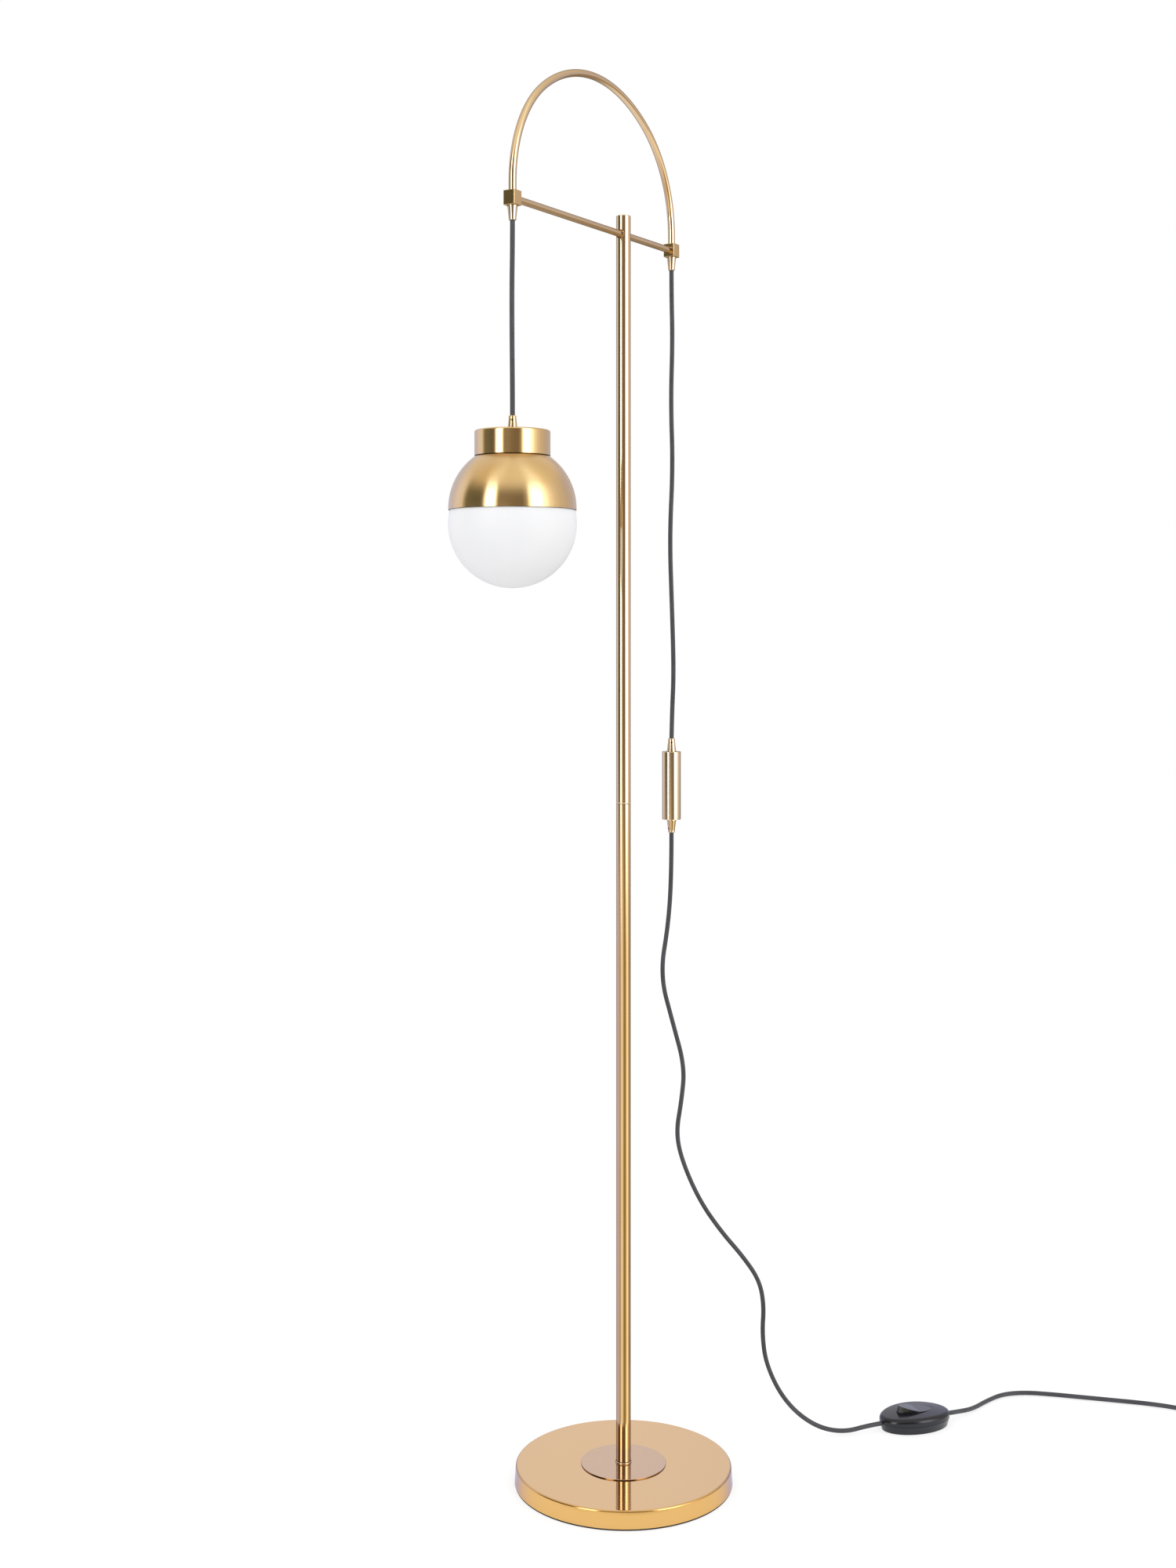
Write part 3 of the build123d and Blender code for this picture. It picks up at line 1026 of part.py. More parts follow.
# ---- all nodes --------------------------------------------------------------------------------------------------
def nodes():
    guide_base = BLOCK_BOTTOM_Z
    weight_screws = [mouth_up(WEIGHT_ARM, WEIGHT_TOP_Z) * grip_screw(),
                     mouth_down(WEIGHT_ARM, WEIGHT_BOTTOM_Z) * grip_screw()]
    return {
        "base_pad": base_pad(),
        "base_ballast": base_ballast(),
        "base_cover": base_cover(),
        "base_disc": base_disc(),
        "base_stud": base_stud(),
        "base_washer": base_washer(),
        "base_nut": base_nut(),
        "pole_foot_insert": pole_foot_insert(),
        "pole_lower": pole_lower(),
        "pole_joint_inserts": pole_joint_inserts(),
        "pole_joint_stud": pole_joint_stud(),
        "pole_upper": pole_upper(),
        "pole_cap": pole_cap(),
        "bar_insert": bar_insert(),
        "bar_screw": bar_screw(),
        "crossbar": crossbar(),
        "bar_collars": bar_collars(),
        "block_lamp_side": end_block(-PENDANT_ARM, 1),
        "block_weight_side": end_block(WEIGHT_ARM, -1),
        "arch_tube": arch_tube(),
        "guide_lamp_side": mouth_down(-PENDANT_ARM, guide_base) * turned_grip(False),
        "guide_weight_side": mouth_down(WEIGHT_ARM, guide_base) * turned_grip(False),
        "arch_cord": arch_cord(),
        "drop_cord": straight_cord(-PENDANT_ARM, LAMP_MOUTH_Z + BODY_GAP, GUIDE_MOUTH_Z - SWING_GAP),
        "lamp_grip": mouth_up(-PENDANT_ARM, CAP_TOP_Z) * turned_grip(True),
        "lamp_grip_screw": mouth_up(-PENDANT_ARM, CAP_TOP_Z) * grip_screw(),
        "lamp_cord": straight_cord(-PENDANT_ARM, NIPPLE_BOTTOM_Z, LAMP_MOUTH_Z),
        "lamp_cap": on_lamp(lamp_cap()),
        "nipple": on_lamp(nipple()),
        "nipple_nut": on_lamp(nipple_nut()),
        "holder_plate": on_lamp(holder_plate()),
        "half_shade": on_lamp(half_shade()),
        "glass_ring": on_lamp(glass_ring()),
        "glass_globe": on_lamp(glass_globe()),
        "holder_cap": on_lamp(holder_cap()),
        "holder_body": on_lamp(holder_body()),
        "holder_contacts": on_lamp(holder_contacts()),
        "bulb_cap": on_lamp(bulb_cap()),
        "bulb_glass": on_lamp(bulb_glass()),
        "weight_cord": straight_cord(WEIGHT_ARM, WEIGHT_MOUTH_Z + BODY_GAP, GUIDE_MOUTH_Z),
        "weight_body": weight_body(),
        "weight_grip_top": mouth_up(WEIGHT_ARM, WEIGHT_TOP_Z) * turned_grip(True),
        "weight_grip_bottom": mouth_down(WEIGHT_ARM, WEIGHT_BOTTOM_Z) * turned_grip(True),
        "weight_grip_screws": Compound(children=weight_screws),
        "weight_inner_cord": straight_cord(WEIGHT_ARM, WEIGHT_TAIL_Z + BODY_GAP, WEIGHT_MOUTH_Z),
        "tail_cord": loose_cord("tail_cord", tail_points()),
        "switch_base": switch_base(),
        "switch_cover": switch_cover(),
        "switch_rocker": switch_rocker(),
        "rocker_axle": rocker_axle(),
        "terminal_block": terminal_block(),
        "switch_screws": switch_screws(),
        "lead_cord": loose_cord("lead_cord", lead_points()),
        "cord_coil": cord_coil(),
        "plug_cord": loose_cord("plug_cord", plug_cord_points()),
        "plug_body": plug_body(),
        "plug_pins": plug_pins(),
    }


os.makedirs("parts", exist_ok=True)
for node_name, shape in nodes().items():
    export_step(shape, f"parts/{node_name}.step")
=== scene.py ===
"""Globe floor lamp: materials, flex, small trim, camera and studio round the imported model.

Everything is in metres unless it says otherwise, in the model's own frame: +Z up, the origin on the
pole's axis at the floor, +X along the crossbar towards the counterweight."""
from math import cos, pi, radians, sin

import bmesh
import bpy
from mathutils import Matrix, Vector

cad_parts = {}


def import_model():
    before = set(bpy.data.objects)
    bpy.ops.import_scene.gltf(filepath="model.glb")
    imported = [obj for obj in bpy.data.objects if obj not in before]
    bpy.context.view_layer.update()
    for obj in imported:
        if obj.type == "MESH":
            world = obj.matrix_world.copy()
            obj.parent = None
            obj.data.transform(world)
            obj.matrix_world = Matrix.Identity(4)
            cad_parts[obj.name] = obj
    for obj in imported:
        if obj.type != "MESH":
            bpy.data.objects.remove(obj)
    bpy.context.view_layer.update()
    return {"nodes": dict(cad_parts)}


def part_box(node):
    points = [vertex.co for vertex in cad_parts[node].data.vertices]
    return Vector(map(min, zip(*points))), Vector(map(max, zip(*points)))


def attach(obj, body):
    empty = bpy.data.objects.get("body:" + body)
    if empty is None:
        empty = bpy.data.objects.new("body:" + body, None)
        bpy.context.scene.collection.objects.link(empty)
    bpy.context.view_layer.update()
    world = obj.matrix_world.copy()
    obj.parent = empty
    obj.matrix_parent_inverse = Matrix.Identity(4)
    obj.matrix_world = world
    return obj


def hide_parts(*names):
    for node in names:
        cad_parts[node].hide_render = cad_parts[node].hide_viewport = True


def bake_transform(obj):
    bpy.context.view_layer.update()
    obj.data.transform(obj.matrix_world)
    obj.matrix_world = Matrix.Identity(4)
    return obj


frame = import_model()

MM = 0.001

# ---- places, from the frame -------------------------------------------------------------------------
LAMP_X = (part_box("half_shade")[0].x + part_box("half_shade")[1].x) / 2
WEIGHT_X = (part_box("weight_body")[0].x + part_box("weight_body")[1].x) / 2
LAMP_GUIDE_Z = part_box("guide_lamp_side")[0].z
WEIGHT_GUIDE_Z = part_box("guide_weight_side")[0].z
LAMP_MOUTH_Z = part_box("lamp_grip")[1].z
WEIGHT_MOUTH_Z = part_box("weight_grip_top")[1].z
WEIGHT_TAIL_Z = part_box("weight_grip_bottom")[0].z
ARCH_LOW, ARCH_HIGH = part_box("arch_tube")
ARCH_MIDDLE_X = (ARCH_LOW.x + ARCH_HIGH.x) / 2
ARCH_CENTRE_Z = ARCH_HIGH.z - (ARCH_HIGH.x - ARCH_LOW.x) / 2

# ---- flex, in millimetres: the same sizes and route points as the model's ---------------------------
CORD_RADIUS = 2.6 * MM          # metres
SWITCH_X, SWITCH_Y = 310.7, -213.2
SWITCH_YAW = -38.7              # degrees
SWITCH_CORD_SEAT = 31.0         # from the switch's middle to where the flex ends in it
SWITCH_CORD_RUN = 26.0          # straight stretch from there, through the switch's end
SWITCH_CORD_Z = 8.5
FLOOR_CORD_Z = 3.0              # middle line of the flex on the floor
COIL_X, COIL_Y = 483.0, -535.0
COIL_OUTER_RADIUS = 37.5
COIL_TURNS_PER_LAYER = 3
CORD_STEP = 5.7                 # between turns and between layers
COIL_POINTS_PER_TURN = 24
PLUG_CORD_RUN = 12.0            # straight stretch out of the coil, and into the plug
PLUG_CORD_SLOPE = 16.0          # run over which the flex comes down to the plug
PLUG_AXIS_Z = 6.9
SWING_GAP = 0.5                 # flex end under the guide's mouth, where the lamp swings
BODY_GAP = 0.3                  # between pieces that move against each other

# ---- camera, as the photograph was taken ------------------------------------------------------------
CAMERA_PLACE = (-1.8436, -1.1060, 0.936)
CAMERA_YAW = -58.0              # degrees
CAMERA_LENS = 44.856            # millimetres, as is the sensor
SENSOR_WIDTH = 36.0
CAMERA_SHIFT_Y = -0.098
CAMERA_REACH = 50.0

# ---- shared by the materials ------------------------------------------------------------------------
WHITE = (1.0, 1.0, 1.0, 1.0)
NOISE_RANGE = (0.3, 0.7)        # where nearly all of a noise's values lie
LATHE_DRIFT = 0.002             # metres of grain for each radian round a turned piece
ARCH_DRIFT = 0.003              # and along the arch


# ---- node helpers -----------------------------------------------------------------------------------
class Graph:
    """A tree of nodes, and short ways to add to it."""

    def __init__(self, tree):
        self.nodes = tree.nodes
        self.links = tree.links

    def add(self, kind, **settings):
        node = self.nodes.new(kind)
        for key, value in settings.items():
            setattr(node, key, value)
        return node

    def put(self, socket, value):
        """Links a socket to another, or gives it a value."""
        if isinstance(value, bpy.types.NodeSocket):
            self.links.new(value, socket)
        else:
            socket.default_value = value

    def fill(self, node, *values):
        """Puts the values into the node's first sockets, and gives its first output."""
        for socket, value in zip(node.inputs, values):
            self.put(socket, value)
        return node.outputs[0]

    def math(self, operation, *values):
        return self.fill(self.add("ShaderNodeMath", operation=operation), *values)

    def vector_math(self, operation, *values):
        node = self.add("ShaderNodeVectorMath", operation=operation)
        self.fill(node, *values)
        return node.outputs["Value" if operation in ("LENGTH", "DOT_PRODUCT") else "Vector"]

    def split(self, vector):
        node = self.add("ShaderNodeSeparateXYZ")
        self.fill(node, vector)
        return node.outputs

    def join(self, x, y, z):
        return self.fill(self.add("ShaderNodeCombineXYZ"), x, y, z)

    def noise(self, vector, scale, detail=2.0, roughness=0.5):
        node = self.add("ShaderNodeTexNoise")
        self.put(node.inputs["Vector"], vector)
        self.put(node.inputs["Scale"], scale)
        self.put(node.inputs["Detail"], detail)
        self.put(node.inputs["Roughness"], roughness)
        return node.outputs["Fac"]

    def spread(self, value, to_low, to_high, low=NOISE_RANGE[0], high=NOISE_RANGE[1]):
        """The range from low to high, drawn out to the one from to_low to to_high."""
        return self.fill(self.add("ShaderNodeMapRange"), value, low, high, to_low, to_high)

    def mix(self, share, first, second):
        """The first colour where the share is 0, and the second where it is 1."""
        node = self.add("ShaderNodeMix", data_type="RGBA")
        self.put(node.inputs["Factor"], share)
        self.put(node.inputs[6], first)
        self.put(node.inputs[7], second)
        return node.outputs[2]

    def choose(self, share, first, second):
        """The first shader where the share is 0, and the second where it is 1."""
        return self.fill(self.add("ShaderNodeMixShader"), share, first, second)


class Shader(Graph):
    """A material with one principled shader."""

    def __init__(self, name):
        self.material = bpy.data.materials.new(name)
        self.material.use_nodes = True
        super().__init__(self.material.node_tree)
        self.surface = self.nodes["Principled BSDF"]
        self.place = self.add("ShaderNodeTexCoord").outputs["Object"]

    def base(self, **values):
        for key, value in values.items():
            self.put(self.surface.inputs[key.replace("_", " ")], value)

    def bump(self, height, strength, distance):
        node = self.add("ShaderNodeBump")
        self.put(node.inputs["Height"], height)
        self.put(node.inputs["Strength"], strength)
        self.put(node.inputs["Distance"], distance)
        self.base(Normal=node.outputs[0])

    def upward(self):
        """The upward part of the surface's direction: 1 on a flat top, 0 on an upright side."""
        return self.split(self.add("ShaderNodeNewGeometry").outputs["Normal"])[2]


def rgb(red, green, blue):
    return (red, green, blue, 1.0)


def paint(piece, material):
    piece.data.materials.clear()
    piece.data.materials.append(material)


def straight_grain(shader, stretch):
    """Coordinates whose features are drawn out along the axis with the smallest stretch."""
    return shader.vector_math("MULTIPLY", shader.place, stretch)


def turned_grain(shader, x):
    """Coordinates that hardly change round the vertical axis at x: lathe marks."""
    px, py, pz = shader.split(shader.vector_math("SUBTRACT", shader.place, (x, 0, 0)))
    out = shader.vector_math("LENGTH", shader.join(px, py, 0.0))
    around = shader.math("MULTIPLY", shader.math("ARCTAN2", py, px), LATHE_DRIFT)
    return shader.join(out, pz, around)


def arch_grain(shader):
    """Coordinates drawn out along the arch's curve."""
    px, py, pz = shader.split(shader.place)
    dx = shader.math("SUBTRACT", px, ARCH_MIDDLE_X)
    dz = shader.math("SUBTRACT", pz, ARCH_CENTRE_Z)
    out = shader.vector_math("LENGTH", shader.join(dx, dz, 0.0))
    around = shader.math("MULTIPLY", shader.math("ARCTAN2", dz, dx), ARCH_DRIFT)
    return shader.join(out, py, around)


# ---- materials --------------------------------------------------------------------------------------
# Each pair is the light tone and the deep one.
LAMP_BRASS = rgb(0.90, 0.66, 0.355), rgb(0.86, 0.61, 0.31)
PALE_BRASS = rgb(0.93, 0.73, 0.49), rgb(0.88, 0.67, 0.43)
TURNED_BRASS = rgb(0.94, 0.77, 0.56), rgb(0.89, 0.71, 0.50)
DISC_BRASS = rgb(0.78, 0.55, 0.39), rgb(0.72, 0.51, 0.36)
MACHINED_BRASS = rgb(0.72, 0.52, 0.25), rgb(0.60, 0.42, 0.18)
# Painted shade and painted highlight: the dark of the trim's shadow lines, which stand where there is
# only shadow, and the bright of the lit edge at the pole's seam.
PAINTED_SHADOW_DARK = rgb(0.16, 0.10, 0.04), rgb(0.09, 0.055, 0.02)
LIT_EDGE = rgb(0.98, 0.93, 0.80), rgb(0.95, 0.87, 0.70)
STEEL = rgb(0.62, 0.62, 0.60), rgb(0.50, 0.50, 0.49)
DARK_STEEL = rgb(0.16, 0.12, 0.08), rgb(0.08, 0.06, 0.045)
NICKEL = rgb(0.72, 0.71, 0.69), rgb(0.60, 0.59, 0.57)
IRON = rgb(0.13, 0.125, 0.12), rgb(0.05, 0.05, 0.053)
OPAL = rgb(0.915, 0.915, 0.925), rgb(0.885, 0.888, 0.905)
FROSTED = rgb(0.90, 0.90, 0.88), rgb(0.82, 0.82, 0.80)
SWITCH_BLACK = rgb(0.010, 0.010, 0.015), rgb(0.006, 0.006, 0.009)
ROCKER_BLACK = rgb(0.019, 0.019, 0.022), rgb(0.012, 0.012, 0.014)
HOLDER_BLACK = rgb(0.035, 0.035, 0.035), rgb(0.02, 0.02, 0.02)
PLUG_BLACK = rgb(0.022, 0.022, 0.024), rgb(0.012, 0.012, 0.013)
SHEATH_GREY = rgb(0.058, 0.060, 0.072), rgb(0.040, 0.041, 0.051)
PAD_BLACK = rgb(0.03, 0.022, 0.017), rgb(0.014, 0.009, 0.007)
TIE_BLACK = rgb(0.04, 0.04, 0.042), rgb(0.01, 0.01, 0.01)

# Base cover tones: the top's and the rim's differ only by the way each faces, which is painted
# reflection; the haze is a random drift of tone.
POLISHED_TOP = rgb(0.895, 0.60, 0.325)
POLISHED_RIM = rgb(0.77, 0.465, 0.16)
POLISHED_HAZE = rgb(0.86, 0.57, 0.27)
# Painted shade on the centre disc's upright edge.
DISC_EDGE_SHADE = rgb(0.30, 0.17, 0.07)
# What metal and plastic mirror at a grazing angle is tinted by these.
BRASS_GRAZING = rgb(0.42, 0.36, 0.32)
# Painted reflection: only the base cover's rim mirrors with this blue-grey tint at a grazing angle.
RIM_GRAZING = rgb(0.58, 0.65, 1.0)
PLASTIC_GRAZING = rgb(0.88, 0.92, 1.0)


def brass(name, grain, tones=PALE_BRASS, rough=(0.09, 0.12), spun=False):
    """Lacquered brass: faint marks along the grain, and a slow drift of tone. Spun pieces smear
    what they mirror up and down."""
    light, deep = tones
    shader = Shader(name)
    fine = shader.noise(grain(shader), 600, 3.0, 0.6)
    drift = shader.noise(shader.place, 9.0, 2.0)
    tone = shader.math("MULTIPLY_ADD", fine, 0.25, shader.math("MULTIPLY", drift, 0.75))
    shader.base(Base_Color=shader.mix(shader.spread(tone, 0.0, 1.0, 0.35, 0.65), deep, light),
                Roughness=shader.spread(fine, *rough), Metallic=1.0)
    shader.bump(fine, 0.004, 0.00025)
    if spun:
        around = shader.add("ShaderNodeTangent", direction_type="RADIAL", axis="Z").outputs[0]
        shader.base(Anisotropic=0.96, Anisotropic_Rotation=0.25, Tangent=around)
    else:
        shader.base(Specular_Tint=BRASS_GRAZING)
    return shader.material


def polished_base():
    """Base cover: near-mirror gold with faint lathe rings. Its flat top is painted paler, and its rim
    a deeper gold that greys where it turns away: painted reflection, set by the way each part faces."""
    shader = Shader("polished_base")
    rings = shader.noise(turned_grain(shader, 0.0), 900, 3.0, 0.6)
    haze = shader.noise(shader.place, 14.0, 3.0)
    # Painted reflection: the top and the rim get their own tones and grazing tints by which way they
    # face.
    top = shader.spread(shader.upward(), 0.0, 1.0, 0.55, 0.98)
    colour = shader.mix(top, POLISHED_RIM, POLISHED_TOP)
    shader.base(Base_Color=shader.mix(shader.spread(haze, 0.0, 0.12), colour, POLISHED_HAZE),
                Roughness=shader.spread(rings, 0.05, 0.08), Metallic=1.0,
                Specular_Tint=shader.mix(top, RIM_GRAZING, WHITE))
    shader.bump(rings, 0.004, 0.0002)
    return shader.material


def base_disc_metal():
    """Centre disc: turned and a shade pinker than the cover, with painted shade on its upright edge.
    """
    light, deep = DISC_BRASS
    shader = Shader("base_disc_metal")
    rings = shader.noise(turned_grain(shader, 0.0), 1300, 3.0, 0.6)
    ringed = shader.mix(shader.spread(rings, 0.0, 1.0), deep, light)
    # Painted shade: where the disc faces sideways, its colour goes over to the dark edge colour.
    edge = shader.spread(shader.upward(), 1.0, 0.0, 0.3, 0.8)
    shader.base(Base_Color=shader.mix(edge, ringed, DISC_EDGE_SHADE),
                Roughness=shader.spread(rings, 0.07, 0.11), Metallic=1.0)
    shader.bump(rings, 0.006, 0.0002)
    return shader.material


def plain_metal(name, tones, rough):
    """Machined or plated metal of the inner pieces, and the small trim's painted shadow lines and
    painted highlight.
    """
    light, deep = tones
    shader = Shader(name)
    marks = shader.noise(shader.place, 700, 4.0, 0.65)
    shader.base(Base_Color=shader.mix(marks, deep, light), Roughness=shader.spread(marks, *rough),
                Metallic=1.0)
    shader.bump(marks, 0.08, 0.0002)
    return shader.material


def cast_iron():
    light, deep = IRON
    shader = Shader("cast_iron")
    grain = shader.noise(shader.place, 420, 6.0, 0.7)
    shader.base(Base_Color=shader.mix(grain, deep, light), Roughness=shader.spread(grain, 0.5, 0.75),
                Metallic=0.6)
    shader.bump(grain, 0.5, 0.0006)
    return shader.material


def opal_glass():
    """Acid-etched opal glass, unlit: milky and satin."""
    light, deep = OPAL
    shader = Shader("opal_glass")
    etch = shader.noise(shader.place, 1600, 3.0, 0.6)
    cloud = shader.noise(shader.place, 16.0, 2.0)
    shader.base(Base_Color=shader.mix(shader.spread(cloud, 0.0, 1.0), deep, light),
                Roughness=shader.spread(etch, 0.36, 0.46), Specular_IOR_Level=0.35,
                Subsurface_Weight=0.25, Subsurface_Scale=0.012, Subsurface_Radius=(1.0, 0.98, 0.95))
    shader.bump(etch, 0.03, 0.0001)
    return shader.material


def frosted_bulb():
    light, deep = FROSTED
    shader = Shader("frosted_bulb")
    frost = shader.noise(shader.place, 1200, 2.0)
    shader.base(Base_Color=shader.mix(frost, deep, light), Roughness=shader.spread(frost, 0.4, 0.55),
                Transmission_Weight=0.3)
    shader.bump(frost, 0.04, 0.0001)
    return shader.material


def plastic(name, tones, rough, stipple_scale, stipple, coat=0.0):
    """Moulded plastic with a spark-eroded stipple."""
    light, deep = tones
    shader = Shader(name)
    grain = shader.noise(shader.place, stipple_scale, 3.0, 0.55)
    wear = shader.noise(shader.place, 35.0, 3.0)
    shader.base(Base_Color=shader.mix(shader.spread(wear, 0.0, 1.0), deep, light),
                Roughness=shader.spread(grain, *rough), Specular_Tint=PLASTIC_GRAZING,
                Specular_IOR_Level=0.4, Coat_Weight=coat, Coat_Roughness=0.10)
    shader.bump(grain, stipple, 0.0003)
    return shader.material


def flex_sheath():
    """Dark grey round sheath: matt, with faint draw marks and dust."""
    light, deep = SHEATH_GREY
    shader = Shader("flex_sheath")
    skin = shader.noise(shader.place, 900, 3.0, 0.6)
    dust = shader.noise(shader.place, 45.0, 3.0)
    shader.base(Base_Color=shader.mix(shader.spread(dust, 0.0, 1.0), deep, light),
                Roughness=shader.spread(skin, 0.42, 0.58), Sheen_Weight=0.1)
    shader.bump(skin, 0.12, 0.0002)
    return shader.material


def rubber():
    light, deep = PAD_BLACK
    shader = Shader("pad_rubber")
    grain = shader.noise(shader.place, 600, 4.0, 0.6)
    shader.base(Base_Color=shader.mix(grain, deep, light), Roughness=shader.spread(grain, 0.6, 0.8))
    shader.bump(grain, 0.3, 0.0004)
    return shader.material


def tie_fabric():
    """Black hook-and-loop band with a fine pile."""
    light, deep = TIE_BLACK
    shader = Shader("tie_fabric")
    pile = shader.noise(shader.place, 1500, 4.0, 0.7)
    shader.base(Base_Color=shader.mix(pile, deep, light), Roughness=0.85, Sheen_Weight=0.3)
    shader.bump(pile, 0.6, 0.0004)
    return shader.material


def dress():
    """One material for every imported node. Gives the flex's material."""
    pole = brass("pole_brass", lambda s: straight_grain(s, (1, 1, 0.02)))
    lamp = brass("spun_brass", lambda s: turned_grain(s, LAMP_X), LAMP_BRASS, (0.165, 0.19), spun=True)
    weight = brass("weight_brass", lambda s: turned_grain(s, WEIGHT_X), TURNED_BRASS)
    bar = brass("bar_brass", lambda s: straight_grain(s, (0.02, 1, 1)))
    block = brass("block_brass", lambda s: straight_grain(s, (1, 1, 0.03)), LAMP_BRASS, (0.12, 0.16))
    arch = brass("arch_brass", arch_grain)
    guide = brass("guide_brass", lambda s: turned_grain(s, LAMP_X), TURNED_BRASS)
    far_guide = brass("guide_brass_far", lambda s: turned_grain(s, WEIGHT_X), TURNED_BRASS)
    inner_brass = plain_metal("machined_brass", MACHINED_BRASS, (0.3, 0.45))
    steel = plain_metal("plated_steel", STEEL, (0.28, 0.42))
    screw = plain_metal("dark_screw", DARK_STEEL, (0.35, 0.5))
    nickel = plain_metal("nickel_pins", NICKEL, (0.16, 0.26))
    switch = plastic("switch_plastic", SWITCH_BLACK, (0.20, 0.28), 1900, 0.06, coat=0.3)
    rocker = plastic("rocker_plastic", ROCKER_BLACK, (0.12, 0.20), 1900, 0.04, coat=0.5)
    holder = plastic("holder_plastic", HOLDER_BLACK, (0.4, 0.55), 900, 0.10)
    plug = plastic("plug_plastic", PLUG_BLACK, (0.34, 0.5), 1300, 0.2)
    flex = flex_sheath()
    looks = {
        pole: ["pole_lower", "pole_upper", "pole_cap"],
        lamp: ["lamp_grip", "lamp_cap", "half_shade"],
        weight: ["weight_body", "weight_grip_top", "weight_grip_bottom"],
        bar: ["crossbar", "bar_collars"],
        block: ["block_lamp_side", "block_weight_side"],
        guide: ["guide_lamp_side"],
        far_guide: ["guide_weight_side"],
        arch: ["arch_tube"],
        polished_base(): ["base_cover"],
        base_disc_metal(): ["base_disc"],
        inner_brass: ["glass_ring", "nipple_nut", "holder_contacts", "bar_insert", "pole_foot_insert",
                      "pole_joint_inserts"],
        steel: ["base_stud", "base_washer", "base_nut", "pole_joint_stud", "bar_screw", "nipple",
                "holder_plate", "switch_screws", "rocker_axle", "bulb_cap"],
        screw: ["lamp_grip_screw", "weight_grip_screws"],
        nickel: ["plug_pins"],
        cast_iron(): ["base_ballast"],
        rubber(): ["base_pad"],
        opal_glass(): ["glass_globe"],
        frosted_bulb(): ["bulb_glass"],
        holder: ["holder_cap", "holder_body", "terminal_block"],
        switch: ["switch_base", "switch_cover"],
        rocker: ["switch_rocker"],
        plug: ["plug_body"],
        flex: ["arch_cord", "drop_cord", "lamp_cord", "weight_cord", "weight_inner_cord", "tail_cord",
               "lead_cord", "cord_coil", "plug_cord"],
    }
    for material, names in looks.items():
        for name in names:
            paint(frame["nodes"][name], material)
    return flex


# ---- small trim -------------------------------------------------------------------------------------
RING_STEPS = 64
RING_THICKNESS_STEPS = 12


def ring(name, centre, radius, thickness, material, body="stand"):
    """Thin round bead, with its sizes in metres."""
    bpy.ops.mesh.primitive_torus_add(location=centre, major_radius=radius, minor_radius=thickness,
                                     major_segments=RING_STEPS,
                                     minor_segments=RING_THICKNESS_STEPS)
    piece = bpy.context.object
    piece.name = name
    piece.data.polygons.foreach_set("use_smooth", [True] * len(piece.data.polygons))
    paint(piece, material)
    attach(piece, body)


def trims():
    """Painted highlight and painted shadow line where the pole's tubes meet, the bead that the pole
    stands in with a painted shadow line over it, and painted shadow lines under the lamp's cap and
    the shade's rim."""
    # Painted shadow: seam_line, foot_line, cap_line and shade_line are dark rings where there is only
    # shade; seam_edge is a painted highlight.
    shadow_dark = plain_metal("painted_shadow_ring", PAINTED_SHADOW_DARK, (0.3, 0.45))
    bead = brass("bead_brass", lambda s: turned_grain(s, 0.0))
    edge = plain_metal("lit_edge", LIT_EDGE, (0.40, 0.50))
    seam_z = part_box("pole_upper")[0].z
    foot_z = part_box("pole_lower")[0].z
    # how far up from the tube's end, radius and thickness, in millimetres
    for name, z, up, radius, thickness, material in (
            ("seam_line", seam_z, -0.6, 7.76, 0.30, shadow_dark),
            ("seam_edge", seam_z, 0.3, 7.80, 0.55, edge),
            ("foot_line", foot_z, 1.75, 8.0, 0.35, shadow_dark),
            ("foot_bead", foot_z, 0.7, 8.05, 0.75, bead)):
        ring(name, (0, 0, z + up * MM), radius * MM, thickness * MM, material)
    # how far up from the piece's lower edge, how far inside it, and thickness, in millimetres
    for name, node, up, inside, thickness in (
            ("cap_line", "lamp_cap", 0.1, 0.55, 0.5),
            ("shade_line", "half_shade", -0.05, 0.45, 0.3)):
        low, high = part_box(node)
        ring(name, (LAMP_X, 0, low.z + up * MM), (high.x - low.x) / 2 - inside * MM, thickness * MM,
             shadow_dark, "pendant")


# ---- flex -------------------------------------------------------------------------------------------
# The hanging flexes' slight set: share of the way down, and millimetres to the side. The one over
# the counterweight reaches a little way into the brass at both ends.
DROP_SET = ((0.0, 0.0), (0.12, 0.0), (0.34, -1.1), (0.62, -0.8), (0.86, 0.0), (1.0, 0.0))
WEIGHT_SET = ((-0.0095, 0.0), (0.05, 0.0), (0.15, 0.9), (0.28, -0.6), (0.42, 1.2), (0.57, -1.6),
              (0.72, 0.4), (0.86, 2.0), (0.95, 0.4), (1.0095, 0.0))
CORD_ROUND_STEPS = 3
SPLINE_STEPS = 12
LEAD_SPLINE_STEPS = 6
SPLINE_ORDER = 3

# Tie round the coil, in millimetres.
TIE_HALF_WIDTH = 7.0
TIE_THICKNESS = 0.3
TIE_CORNER = 2.4
TIE_CORNER_STEPS = 5
TIE_INSIDE = 3.3                # from the coil's hole to the tie's inner face
TIE_OUTSIDE = 3.0               # from the outermost turn's middle line, less half a step
TIE_OVER = 2.8                  # over the upper layer's middle line
TIE_LOW_Z = 0.36


def on_switch(along, z):
    """Point on the foot switch's long axis, in millimetres."""
    a = radians(SWITCH_YAW)
    return (SWITCH_X + along * cos(a), SWITCH_Y + along * sin(a), z)


